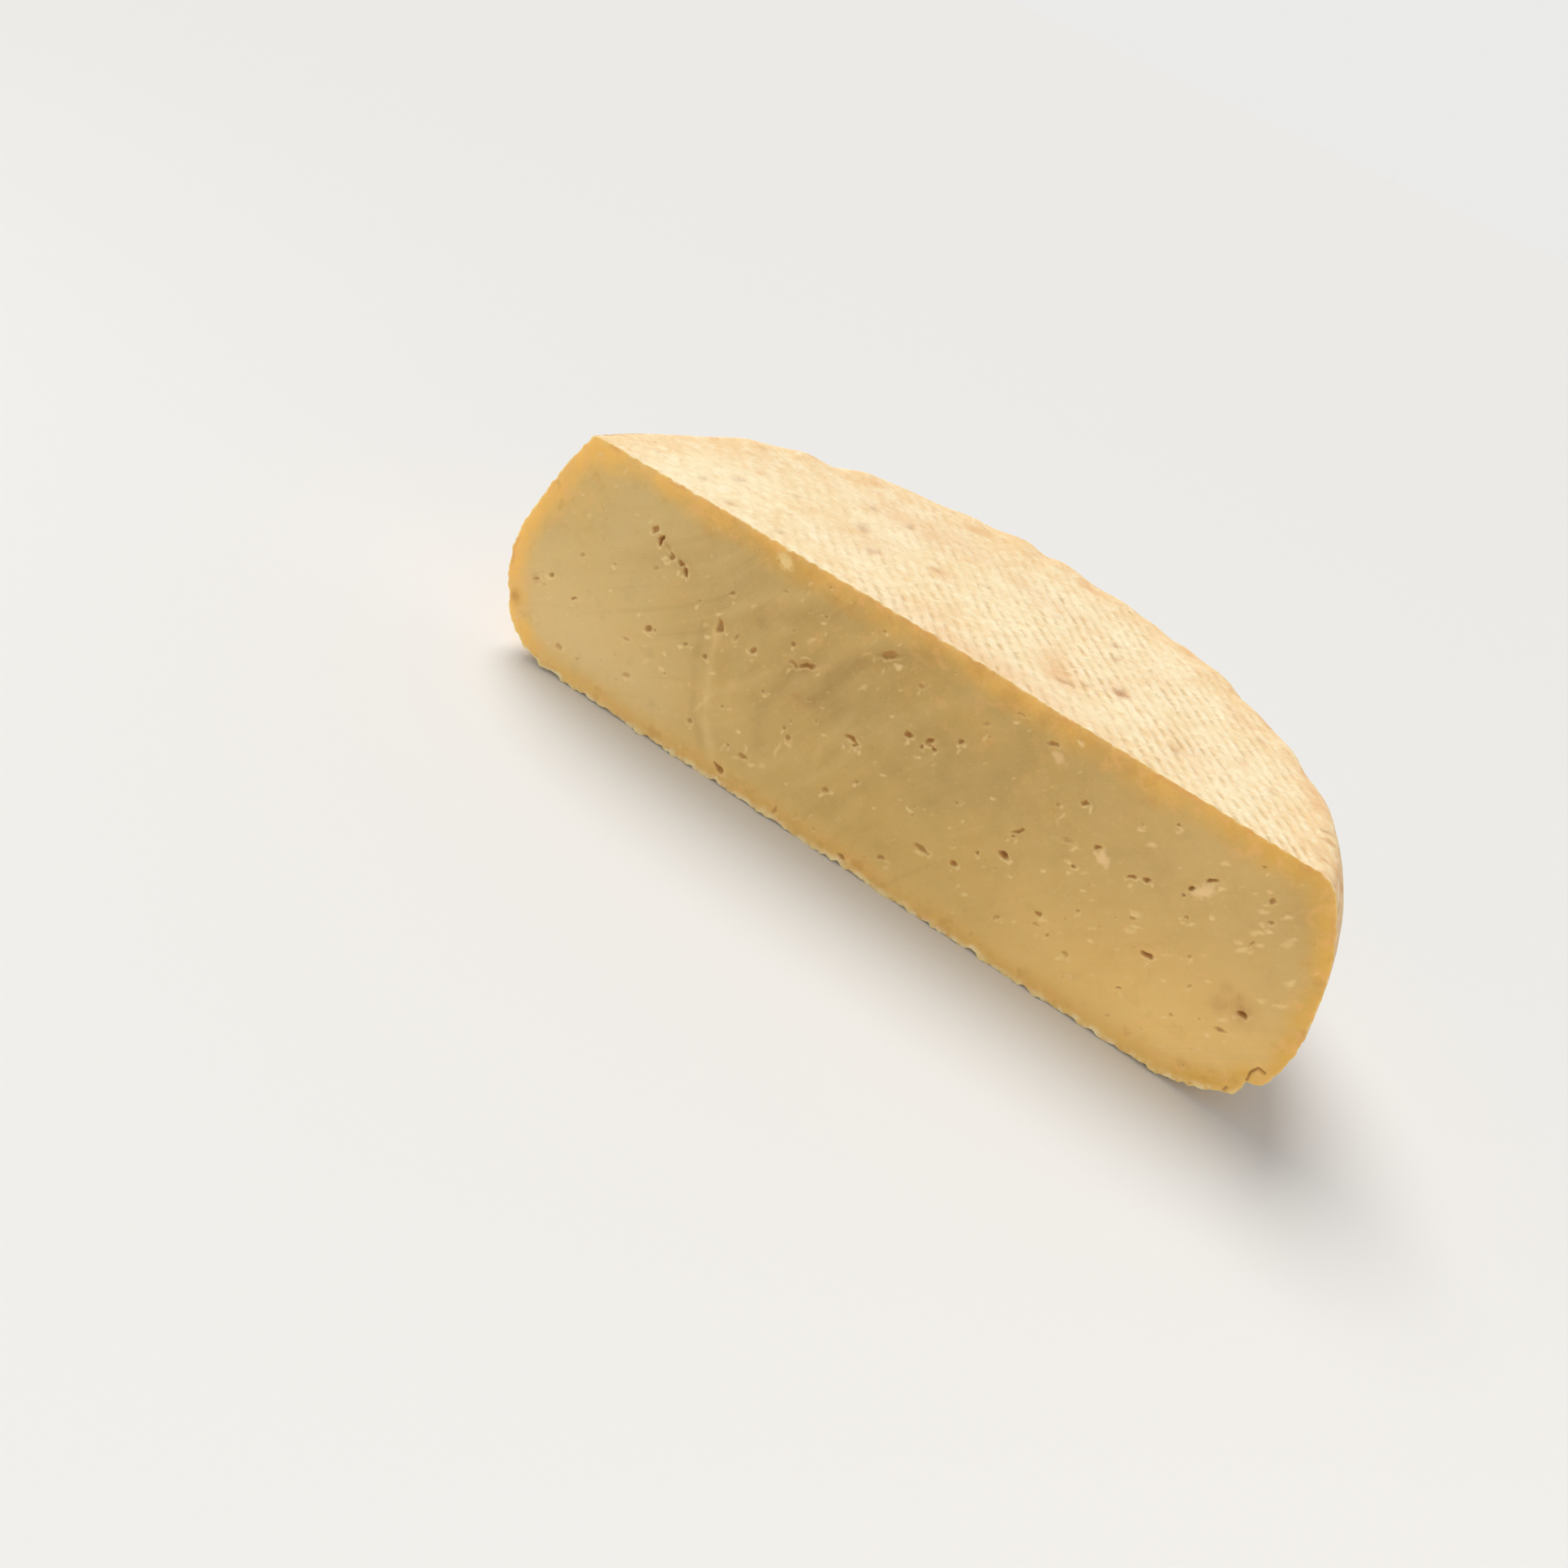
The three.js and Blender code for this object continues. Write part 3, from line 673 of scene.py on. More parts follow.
for k, (x, z, rad, h) in enumerate(fine):       # where two patches meet, the later one gives way
    ok = np.ones(len(h), bool)
    for (x2, z2, rad2, _) in fine[:k]:
        if (x - x2) ** 2 + (z - z2) ** 2 < (rad + rad2) ** 2:
            ok &= ((h - (x2, z2)) ** 2).sum(1) > (rad2 + 0.12) ** 2
    kept.append(h[ok])
inner = np.vstack([base[~taken]] + kept)
inner = inner[(inner[:, 0] > -126) & (inner[:, 0] < 127.5) & (inner[:, 1] > 0.2) & (inner[:, 1] < 72)]
inner = inner[inside(inner, loop_xz)]
ed = segment_distance(inner, loop_xz, np.roll(loop_xz, -1, 0))
inner, ed = inner[ed > 0.34], ed[ed > 0.34]


def turned(P, x, z, L, W, turn):
    t = math.radians(turn)
    dx, dz = P[:, 0] - x, P[:, 1] - z
    return (dx * math.cos(t) + dz * math.sin(t)) / (L / 2), (-dx * math.sin(t) + dz * math.cos(t)) / (W / 2)


def edge_push(P):
    """How far the knife left the skin standing out of the cut's plane round its outline (below 0 is outwards)."""
    n1, n2 = noise(P, 3.4, 2, 71, 0.7), noise(P, 1.6, 1, 72)
    low = smooth(7, 1.5, P[:, 1])
    curl = np.clip(0.16 + 1.9 * noise(P * (1, 0.3), 5.6, 2, 73, 0.7) + 0.60 * n2, 0, 1.6)
    return 0.17 * n1 + 0.14 * n2 - low * curl


def cut_relief(P, ed):
    """How deep each point of the cut lies below the knife's plane, and the masks of openings and flakes, with painted
    highlight and painted shade along the drag folds and round the openings.
    """
    n = len(P)
    deep = 0.10 * noise(P, 60, 2, 61)
    arc = drag_arc(P)
    D = np.column_stack([arc, P[:, 1] * 0.12])
    calm = 0.55 + 0.45 * np.clip(noise(P, 30, 1, 60) * 2, -1, 1)
    deep += calm * (0.14 * noise(D, 8.0, 2, 62) + 0.03 * noise(D, 2.8, 1, 68))
    deep += 0.07 * noise(P, 3.2, 2, 63) + 0.045 * noise(P, 1.3, 1, 64) - 0.16 * smooth(0.34, 0.62, noise(P, 5.2, 2, 76))
    hole, light, warm, pink, shade = (np.zeros(n) for _ in range(5))
    # drag folds: each raised or sunk a little, with a painted highlight along the raised ones and painted shade along
    # the sunk ones
    for (line, wide, bright, up) in MARKS:
        line = np.array(line, float)
        for a, b in zip(line[:-1], line[1:]):
            d = b - a
            t = np.clip(((P - a) @ d) / (d @ d), 0, 1)
            off = np.hypot(*(P - a - t[:, None] * d).T) + 0.5 * noise(P, 6, 1, 69)
            m_ = np.exp(-(off / wide) ** 2) * (0.75 + 0.5 * noise(P, 5, 1, 70))
            deep -= up * m_ * 0.8
            if bright > 0:
                light = np.maximum(light, bright * m_)
            else:
                shade = np.maximum(shade, -bright * m_)
    for (line, wide, far, dark) in CRACKS:
        line = np.array(line, float)
        best = np.full(n, 99.0)
        for a, b in zip(line[:-1], line[1:]):
            d = b - a
            t = np.clip(((P - a) @ d) / (d @ d), 0, 1)
            best = np.minimum(best, np.hypot(*(P - a - t[:, None] * d).T))
        m_ = np.exp(-((best + 0.15 * noise(P, 1.4, 1, 75)) / wide) ** 2)
        deep += far * m_
        # the crack darkened, partly painted shade
        hole = np.maximum(hole, dark * m_)
    wob = noise(P, 1.7, 2, 65, 0.6)
    wob2 = noise(P, 0.9, 1, 66)
    shift = np.column_stack([noise(P, 2.1, 2, 67, 0.6), noise(P, 2.1, 2, 74, 0.6)])
    for k, (x, z, L, W, turn, depth, dark) in enumerate(ALL_HOLES):
        near = np.where(((P - (x, z)) ** 2).sum(1) < (L / 2 + 1.4) ** 2)[0]
        if not len(near):
            continue
        luck = math.sin(k * 12.9898 + 4.1) * 43758.5453 % 1.0
        Q = P[near] + shift[near] * min(0.9, 0.34 * L)
        a, b = turned(Q, x, z, L, W, turn)
        q = np.hypot(a, b + 0.3 * (a**2 - 0.4) * math.sin(k * 1.7)) * (1 + 0.30 * wob[near] + 0.12 * wob2[near])
        pit = 0.42 * depth * (1 - smooth(0.30, 1.06, q)) * (1 + 0.25 * wob[near])
        # a soft pale lip on the lower right side of each opening: a slight raised rim, coloured as a painted highlight
        # where the opening's lower wall catches light from above
        dx, dz = (P[near] - (x, z)).T
        side = np.clip(0.15 + (dx * 0.55 - dz * 0.83) / (np.hypot(dx, dz) + 1e-6), 0, 1)
        lip = np.exp(-((q - 1.22) / 0.26) ** 2) * side
        deep[near] = deep[near] + pit - lip * min(0.22, 0.10 * depth + 0.05)
        # darker toward the middle of the opening: its brown, partly painted shade in the hollow
        hole[near] = np.maximum(hole[near], dark * (1 - smooth(0.26, 1.08, q)))
        # painted highlight, with a pink tint, on the lip
        light[near] = np.maximum(light[near], (0.45 + 0.55 * luck) * min(1, dark + 0.25) * lip)
        pink[near] = np.maximum(pink[near], 0.5 * luck * dark * lip)
    # flakes and specks: raised a little and painted paler; beside openings the paleness is partly painted highlight
    for k, (x, z, L, W, turn, proud, pk) in enumerate(ALL_FLAKES):
        near = np.where(((P - (x, z)) ** 2).sum(1) < (L / 2 + 1.2) ** 2)[0]
        if not len(near):
            continue
        a, b = turned(P[near] + shift[near] * min(0.8, 0.3 * L), x, z, L, W, turn)
        q = np.hypot(a, b) * (1 + 0.40 * wob[near] + 0.2 * wob2[near])
        m_ = 1 - smooth(0.32, 1.20, q)
        m_ = m_ * (1 - np.clip(hole[near] * 2, 0, 1))
        deep[near] -= proud * m_
        light[near] = np.maximum(light[near], m_ * (0.30 + min(0.6, proud * 1.9)))
        pink[near] = np.maximum(pink[near], m_ * pk)
    for (x, z, rad, k_) in STAINS:
        g = np.exp(-((P - (x, z)) ** 2).sum(1) / rad**2) * (0.7 + 0.6 * wob)
        warm = np.maximum(warm, k_ * np.clip(g, 0, 1))
    push = edge_push(P)
    fall = np.exp(-(ed / 0.95) ** 2)
    light = np.maximum(light, np.clip(-push * 1.4, 0, 1) * np.exp(-(ed / 1.3) ** 2))
    return deep * smooth(0.0, 0.9, ed) + push * fall, hole, light, warm, pink, shade


deep, hole, light, warm, pink, shade = cut_relief(inner, ed)
i_in = add(np.column_stack([inner[:, 0], deep, inner[:, 1]]), ed=ed, hole=hole, light=light, warm=warm, pink=pink,
           shade=shade, arc=drag_arc(inner))
T = triangulate(np.vstack([loop_xz, inner]), range(len(loop_xz)))
T = np.concatenate([loop_id, i_in])[T]
V = np.vstack(verts)
A = {k: np.concatenate(v) for k, v in attr.items()}
_push = edge_push(loop_xz)
V[loop_id, 1] += _push
A["arc"][loop_id] = drag_arc(loop_xz)
A["light"][loop_id] = np.clip(-_push * 1.5, 0, 1)


def facing(T, axis):
    n = np.cross(V[T[:, 1]] - V[T[:, 0]], V[T[:, 2]] - V[T[:, 0]])
    return n[:, axis].sum()


tris.append(T if facing(T, 1) < 0 else T[:, ::-1])
mats.append(np.ones(len(T), int))
if facing(tris[0], 2) < 0:
    tris[0] = tris[0][:, ::-1]
if facing(tris[1], 2) > 0:
    tris[1] = tris[1][:, ::-1]
_n = np.cross(V[tris[2][:, 1]] - V[tris[2][:, 0]], V[tris[2][:, 2]] - V[tris[2][:, 0]])
_c = V[tris[2]].mean(1)
if (_n * _c * (1, 1, 0)).sum() < 0:
    tris[2] = tris[2][:, ::-1]

# ------------------------------------------------------------------ the mesh
F = np.vstack(tris)
M = np.concatenate(mats)
print("cheese mesh:", len(V), "vertices", len(F), "triangles; per patch", [len(t) for t in tris])
mesh = bpy.data.meshes.new("cheese_half_wheel_visual")
mesh.from_pydata(((V + SHIFT) / 1000).tolist(), [], F.tolist())
mesh.polygons.foreach_set("material_index", M.astype(np.int32))
mesh.polygons.foreach_set("use_smooth", np.ones(len(F), bool))
for name, values in A.items():
    a = mesh.attributes.new(name, "FLOAT", "POINT")
    a.data.foreach_set("value", values.astype(np.float32))
# the cut's outline is a crisp edge
on_loop = np.zeros(len(V), bool)
on_loop[loop_id] = True
E = np.zeros(len(mesh.edges) * 2, np.int32)
mesh.edges.foreach_get("vertices", E)
E = E.reshape(-1, 2)
pair = {frozenset((int(a), int(b))) for a, b in zip(loop_id, np.roll(loop_id, -1))}
sharp = np.array([on_loop[a] and on_loop[b] and frozenset((int(a), int(b))) in pair for a, b in E])
mesh.attributes.new("sharp_edge", "BOOLEAN", "EDGE").data.foreach_set("value", sharp)
mesh.validate()
mesh.update()
cheese = bpy.data.objects.new("cheese_half", mesh)
bpy.context.scene.collection.objects.link(cheese)


# ------------------------------------------------------------------ materials
def lin(r, g, b):
    return tuple(((c / 255) / 12.92 if c / 255 <= 0.04045 else ((c / 255 + 0.055) / 1.055) ** 2.4) for c in (r, g, b)) + (1.0,)


class Nodes:
    def __init__(self, name):
        self.m = bpy.data.materials.new(name)
        self.m.use_nodes = True
        self.t = self.m.node_tree
        self.t.nodes.clear()

    def add(self, kind, inputs=None, **props):
        n = self.t.nodes.new("ShaderNode" + kind)
        for k, v in props.items():
            setattr(n, k, v)
        for k, v in (inputs or {}).items():
            if isinstance(v, bpy.types.NodeSocket):
                self.t.links.new(v, n.inputs[k])
            else:
                n.inputs[k].default_value = v
        return n

    def math(self, op, a, b=None, c=None, clamp=False):
        ins = {0: a}
        if b is not None:
            ins[1] = b
        if c is not None:
            ins[2] = c
        return self.add("Math", ins, operation=op, use_clamp=clamp).outputs[0]

    def ramp(self, v, a, b, lo_=0.0, hi_=1.0):
        return self.add("MapRange", {"Value": v, "From Min": a, "From Max": b, "To Min": lo_, "To Max": hi_},
                        interpolation_type="SMOOTHSTEP").outputs["Result"]

    def mix(self, f, a, b, blend="MIX"):
        n = self.add("Mix", data_type="RGBA", blend_type=blend)
        n.clamp_factor = True
        for k, v in ((0, f), (6, a), (7, b)):
            if isinstance(v, bpy.types.NodeSocket):
                self.t.links.new(v, n.inputs[k])
            else:
                n.inputs[k].default_value = v
        return n.outputs[2]

    def attr(self, name):
        return self.add("Attribute", attribute_name=name, attribute_type="GEOMETRY").outputs["Fac"]

    def noise(self, vec, wave, detail=2.0, rough=0.5, distortion=0.0):
        return self.add("TexNoise", {"Vector": vec, "Scale": 1.0 / wave, "Detail": detail, "Roughness": rough,
                                     "Distortion": distortion}).outputs["Fac"]

    def coords(self):
        """Object coordinates in mm."""
        tc = self.add("TexCoord")
        return self.add("VectorMath", {0: tc.outputs["Object"], 3: 1000.0}, operation="SCALE").outputs[0]

    def stretch(self, vec, rotation, scale):
        return self.add("Mapping", {"Vector": vec, "Rotation": rotation, "Scale": scale}, vector_type="POINT").outputs[0]

    def bump(self, height, distance, strength=1.0, normal=None):
        ins = {"Strength": strength, "Distance": distance, "Height": height}
        if normal is not None:
            ins["Normal"] = normal
        return self.add("Bump", ins).outputs[0]


def paste_material():
    N = Nodes("cheese_paste")
    P = N.coords()
    ed_, hole_, light_, warm_, pink_, arc_, shade_ = (N.attr(k) for k in ("ed", "hole", "light", "warm", "pink", "arc", "shade"))
    W = N.add("VectorMath", {0: P, 1: tuple(float(v) for v in SHIFT)}, operation="SUBTRACT").outputs[0]
    sep = N.add("SeparateXYZ", {0: W})
    x, z = sep.outputs[0], sep.outputs[2]
    broad = N.noise(P, 46, 2)
    mid = N.noise(P, 9, 3, 0.55)
    fine_ = N.noise(P, 1.6, 3, 0.6)
    D = N.add("CombineXYZ", {0: arc_, 1: N.math("MULTIPLY", z, 0.12), 2: 0.0}).outputs[0]
    drag = N.noise(D, 6.5, 3, 0.55)
    drag2 = N.noise(D, 1.9, 2, 0.6)
    # paste: greyer straw in the middle, paler to the left, more golden to the right and low down; the paler sides and
    # golden lower part are partly the paste's own tone and partly painted light from the sides and from light bounced
    # up from below
    wander = N.math("MULTIPLY", N.math("SUBTRACT", broad, 0.5), 60.0)
    xw = N.math("ADD", x, wander)
    left, right = N.ramp(xw, -18, -95), N.ramp(xw, 10, 108)
    low_ = N.ramp(N.math("ADD", z, N.math("MULTIPLY", wander, 0.2)), 50, 8)
    up_c = N.mix(right, N.mix(left, lin(190, 160, 97), lin(215, 187, 125)), lin(212, 179, 114))
    low_c = N.mix(right, N.mix(left, lin(213, 180, 110), lin(234, 205, 144)), lin(244, 204, 127))
    c = N.mix(low_, up_c, low_c)
    # painted light, partly the paste's own tone: brighter along the bottom and more golden low at the right, where
    # light bounced up from below falls
    c = N.mix(N.math("MULTIPLY", N.ramp(z, 12, 2), 0.60), c, lin(249, 212, 136))
    c = N.mix(N.math("MULTIPLY", N.math("MULTIPLY", N.ramp(z, 30, 8), N.ramp(x, 70, 105)), 0.35), c, lin(250, 212, 136))
    c = N.mix(N.math("MULTIPLY", N.ramp(mid, 0.34, 0.70), 0.22), c, lin(228, 194, 128))
    c = N.mix(N.math("MULTIPLY", N.ramp(mid, 0.46, 0.28), 0.18), c, lin(180, 146, 84))
    c = N.mix(N.math("MULTIPLY", N.math("MULTIPLY", N.ramp(z, 44, 62), N.ramp(x, 94, 114)), 0.38), c, lin(178, 142, 80))
    clear = N.math("ADD", N.math("MULTIPLY", N.math("MULTIPLY", N.ramp(x, -105, -50), N.ramp(x, 40, -10)), 0.7), 0.3)
    c = N.mix(N.math("MULTIPLY", N.math("MULTIPLY", N.ramp(drag, 0.50, 0.76), 0.32), clear), c, lin(232, 204, 142))
    c = N.mix(N.math("MULTIPLY", N.math("MULTIPLY", N.ramp(drag, 0.46, 0.24), 0.36), clear), c, lin(170, 136, 76))
    c = N.mix(N.math("MULTIPLY", N.math("MULTIPLY", N.ramp(drag2, 0.56, 0.80), 0.08), clear), c, lin(232, 204, 144))
    c = N.mix(N.math("MULTIPLY", N.ramp(fine_, 0.56, 0.78), 0.22), c, lin(240, 214, 154))
    # golden band under the rind: soft, blotchy, of uneven width, fainter along the bottom
    flat = N.math("MULTIPLY", N.ramp(z, 24, 5), N.ramp(N.math("ABSOLUTE", x), 113, 96))
    wide = N.math("ADD", 3.0, N.math("MULTIPLY", N.noise(P, 17, 2), 5.6))
    corner = N.math("MULTIPLY", N.ramp(x, -92, -110), N.ramp(z, 32, 60))
    wide = N.math("ADD", wide, N.math("MULTIPLY", corner, 3.0))
    wide = N.math("ADD", wide, N.math("MULTIPLY", N.math("MULTIPLY", N.ramp(z, 40, 60), N.ramp(N.math("ABSOLUTE", x), 70, 30)), 0.9))
    wide = N.math("SUBTRACT", wide, N.math("MULTIPLY", N.ramp(x, 108, 120), 1.3))
    wide = N.math("SUBTRACT", wide, N.math("MULTIPLY", flat, 1.8))
    wob = N.math("MULTIPLY", N.math("SUBTRACT", N.noise(P, 3.4, 3, 0.6), 0.5), 3.0)
    q = N.math("DIVIDE", N.math("ADD", ed_, wob), wide)
    band = N.ramp(q, 1.45, 0.15)
    patchy = N.ramp(N.noise(P, 8.5, 3, 0.55), 0.28, 0.60, 0.55, 1.0)
    band = N.math("MULTIPLY", band, patchy)
    band = N.math("MULTIPLY", band, N.math("SUBTRACT", 1.0, N.math("MULTIPLY", flat, 0.45)))
    c = N.mix(N.math("MULTIPLY", N.ramp(q, 2.4, 0.7), 0.24), c, lin(222, 176, 92))
    amber = N.mix(N.ramp(N.noise(P, 5.5, 3, 0.6), 0.36, 0.66), lin(224, 172, 82), lin(236, 187, 96))
    amber = N.mix(N.math("MULTIPLY", N.ramp(x, -50, -108), 0.9), amber, lin(252, 200, 100))
    amber = N.mix(N.math("MULTIPLY", N.ramp(x, 60, 112), 0.75), amber, lin(228, 182, 84))
    # lighter toward the very edge
    edge_l = N.math("MULTIPLY", N.ramp(ed_, 3.0, 0.4), N.math("SUBTRACT", 0.32, N.math("MULTIPLY", N.ramp(x, 30, 90), 0.24)))
    amber = N.mix(edge_l, amber, lin(252, 210, 128))
    c = N.mix(N.math("MULTIPLY", band, 0.95), c, amber)
    fleck = N.math("MULTIPLY", N.ramp(N.noise(P, 3.4, 2, 0.6), 0.52, 0.66), N.ramp(q, 1.9, 0.8))
    c = N.mix(N.math("MULTIPLY", fleck, 0.36), c, lin(244, 190, 120))
    dusk = N.math("MULTIPLY", N.ramp(N.noise(P, 6.2, 3, 0.6), 0.54, 0.68), N.ramp(q, 1.7, 0.9))
    c = N.mix(N.math("MULTIPLY", dusk, 0.36), c, lin(206, 154, 78))
    # a browner, pinker line here and there right under the rind
    line = N.math("MULTIPLY", N.ramp(N.math("ADD", ed_, N.math("MULTIPLY", wob, 0.35)), 1.9, 0.5), N.ramp(N.noise(P, 10, 2), 0.48, 0.66))
    c = N.mix(N.math("MULTIPLY", line, 0.42), c, lin(224, 160, 92))
    # thin pale skin along the very edge, broken, clearest along the bottom
    under = N.math("MULTIPLY", N.ramp(z, 13, 6), N.math("MULTIPLY", N.ramp(x, 125, 120), N.ramp(x, -104, -92)))
    skin = N.ramp(N.math("ADD", ed_, N.math("MULTIPLY", wob, 0.26)), N.math("ADD", 0.65, N.math("MULTIPLY", under, 1.35)), 0.05)
    broken = N.ramp(N.noise(P, 4.2, 3, 0.6), 0.40, 0.60, 0.12, 1.0)
    much = N.math("ADD", 0.48, N.math("MULTIPLY", under, 0.42))
    much = N.math("ADD", much, N.math("MULTIPLY", N.ramp(x, -40, -80), 0.22))
    much = N.math("SUBTRACT", much, N.math("MULTIPLY", N.ramp(x, 20, 70), N.math("SUBTRACT", 0.26, N.math("MULTIPLY", under, 0.26))))
    c = N.mix(N.math("MULTIPLY", N.math("MULTIPLY", skin, broken), much), c, lin(255, 233, 188))
    # flakes, stains, openings, with painted shade along the sunk drag folds, painted highlight along the raised folds
    # and on the openings' lips, and partly painted shade in the openings' hollows
    # painted shade along the sunk drag folds
    c = N.mix(shade_, c, lin(150, 116, 60))
    # pale flakes and curled skin, plus painted highlight along the raised drag folds and on the openings' lips
    c = N.mix(N.math("MULTIPLY", light_, 0.80), c, lin(248, 221, 156))
    # pink of the flakes, and the pink of the painted highlight on the openings' lips
    c = N.mix(N.math("MULTIPLY", pink_, 0.66), c, lin(238, 198, 150))
    c = N.mix(warm_, c, lin(178, 122, 62))
    # brown of openings and cracks, darker toward their middles: partly their own colour, partly painted shade
    c = N.mix(N.ramp(hole_, 0.0, 0.50, 0.0, 0.75), c, lin(184, 133, 70))
    c = N.mix(N.ramp(hole_, 0.50, 1.0, 0.0, 0.76), c, lin(170, 106, 50))
    rough = N.ramp(N.noise(P, 2.4, 3, 0.6), 0.3, 0.75, 0.42, 0.62)
    h = N.math("ADD", N.math("MULTIPLY", N.noise(P, 0.9, 3, 0.65), 0.5), N.math("MULTIPLY", drag2, 0.22))
    h = N.math("ADD", h, N.math("MULTIPLY", drag, 0.8))
    h = N.math("ADD", h, N.math("MULTIPLY", N.ramp(N.noise(P, 2.0, 2), 0.62, 0.74), -0.35))
    bump = N.bump(h, 0.00028, 0.85)
    b = N.add("BsdfPrincipled", {"Base Color": c, "Roughness": rough, "Normal": bump, "Subsurface Weight": 0.35,
                                 "Subsurface Radius": (1.0, 0.55, 0.22), "Subsurface Scale": 0.003, "IOR": 1.44,
                                 "Specular IOR Level": 0.42, "Sheen Weight": 0.0})
    N.t.links.new(b.outputs[0], N.add("OutputMaterial").inputs[0])
    return N.m


def rind_material():
    N = Nodes("cheese_rind")
    P = N.coords()
    wu, wv, wk, pit, side, stain, spot = (N.attr(k) for k in ("wu", "wv", "wk", "pit", "side", "stain", "spot"))
    W = N.add("VectorMath", {0: P, 1: tuple(float(v) for v in SHIFT)}, operation="SUBTRACT").outputs[0]
    sep = N.add("SeparateXYZ", {0: W})
    z = sep.outputs[2]
    flatW = N.add("CombineXYZ", {0: sep.outputs[0], 1: sep.outputs[1], 2: 0.0}).outputs[0]
    radius = N.add("VectorMath", {0: flatW}, operation="LENGTH").outputs["Value"]
    broad = N.noise(P, 34, 3, 0.55)
    mid = N.noise(P, 8, 4, 0.6)
    fine_ = N.noise(P, 1.5, 4, 0.65)
    # the upper face: cream, whiter toward its middle, tan-orange at the shoulder
    c = N.mix(N.ramp(broad, 0.34, 0.70), lin(250, 232, 193), lin(244, 218, 171))
    outerk = N.ramp(N.math("ADD", radius, N.math("MULTIPLY", N.math("SUBTRACT", mid, 0.5), 22.0)), 84, 112)
    c = N.mix(N.math("MULTIPLY", outerk, 0.60), c, lin(244, 204, 148))
    c = N.mix(N.math("MULTIPLY", N.ramp(mid, 0.52, 0.76), 0.40), c, lin(238, 198, 142))
    c = N.mix(N.math("MULTIPLY", N.ramp(mid, 0.46, 0.26), 0.40), c, lin(255, 242, 208))
    grain = N.noise(P, 2.9, 3, 0.55, 0.6)
    c = N.mix(N.math("MULTIPLY", N.ramp(grain, 0.50, 0.68), 0.42), c, lin(234, 200, 144))
    c = N.mix(N.math("MULTIPLY", N.ramp(grain, 0.48, 0.32), 0.50), c, lin(255, 245, 212))
    # the rim: cream with warm tan and pinkish-brown blotches, greyer low down
    rim_a = N.mix(N.ramp(N.noise(P, 16, 3, 0.6), 0.36, 0.64), lin(248, 220, 172), lin(232, 188, 140))
    rim_a = N.mix(N.math("MULTIPLY", N.ramp(N.noise(P, 7.5, 4, 0.55), 0.46, 0.80), 0.90), rim_a, lin(206, 152, 106))
    rim_a = N.mix(N.math("MULTIPLY", N.ramp(z, 34, 3), 0.40), rim_a, lin(204, 170, 134))
    c = N.mix(N.math("MULTIPLY", side, 0.72), c, rim_a)
    dust = N.ramp(N.noise(P, 3.4, 4, 0.7), 0.48, 0.74)
    c = N.mix(N.math("MULTIPLY", dust, N.math("ADD", 0.10, N.math("MULTIPLY", side, 0.22))), c, lin(254, 238, 206))
    # dashes of the cloth
    wob = N.math("SUBTRACT", N.noise(P, 2.4, 2, 0.6), 0.5)
    u = N.math("ADD", wu, N.math("MULTIPLY", wob, 0.22))
    du = N.math("SUBTRACT", u, N.math("ROUND", u))
    v = N.math("SUBTRACT", N.math("ADD", wv, N.math("MULTIPLY", N.math("SUBTRACT", mid, 0.5), 0.5)), N.math("MULTIPLY", du, STAGGER))
    dv = N.math("SUBTRACT", v, N.math("ROUND", v))
    dash = N.math("MULTIPLY", N.ramp(N.math("ABSOLUTE", du), 0.27, 0.07), N.ramp(N.math("ABSOLUTE", dv), 0.52, 0.28))
    press = N.math("MULTIPLY", dash, wk)
    c = N.mix(N.math("MULTIPLY", press, N.ramp(N.noise(P, 3.8, 2), 0.36, 0.64, 0.10, 0.74)), c, lin(212, 180, 132))
    # paler ridges between the dashes: partly the rind's own tone, partly painted highlight on the raised threads
    proud = N.math("MULTIPLY", N.math("MULTIPLY", N.ramp(N.math("ABSOLUTE", du), 0.28, 0.48), wk), N.ramp(N.noise(P, 4.4, 2), 0.38, 0.62, 0.2, 1.0))
    c = N.mix(N.math("MULTIPLY", proud, 0.46), c, lin(255, 244, 216))
    # tan and orange mottling round the shoulder
    rimward = N.ramp(radius, 92, 114)
    mott = N.ramp(N.noise(P, 5.2, 3, 0.6), 0.52, 0.68)
    c = N.mix(N.math("MULTIPLY", N.math("MULTIPLY", mott, rimward), 0.50), c, lin(224, 168, 112))
    # marks and small brown specks
    c = N.mix(N.math("MULTIPLY", stain, 0.80), c, lin(230, 176, 122))
    sp = N.ramp(N.noise(P, 3.1, 2, 0.5), 0.68, 0.75)
    c = N.mix(N.math("MULTIPLY", sp, N.math("ADD", 0.10, N.math("MULTIPLY", side, 0.50))), c, lin(158, 104, 66))
    c = N.mix(N.math("MULTIPLY", pit, 0.42), c, lin(186, 138, 94))
    c = N.mix(N.math("MULTIPLY", spot, 0.9), c, lin(166, 108, 70))
    c = N.mix(N.math("MULTIPLY", N.ramp(fine_, 0.58, 0.76), 0.20), c, lin(220, 186, 138))
    rough = N.ramp(fine_, 0.3, 0.75, 0.74, 0.92)
    h = N.math("ADD", N.math("MULTIPLY", fine_, 0.7), N.math("MULTIPLY", N.noise(P, 0.6, 3, 0.7), 0.3))
    h = N.math("SUBTRACT", h, N.math("MULTIPLY", press, 0.60))
    h = N.math("SUBTRACT", h, N.math("MULTIPLY", grain, 1.0))
    bump = N.bump(h, 0.00030, 0.85)
    b = N.add("BsdfPrincipled", {"Base Color": c, "Roughness": rough, "Normal": bump, "Subsurface Weight": 0.18,
                                 "Subsurface Radius": (1.0, 0.6, 0.3), "Subsurface Scale": 0.002, "IOR": 1.42,
                                 "Specular IOR Level": 0.25})
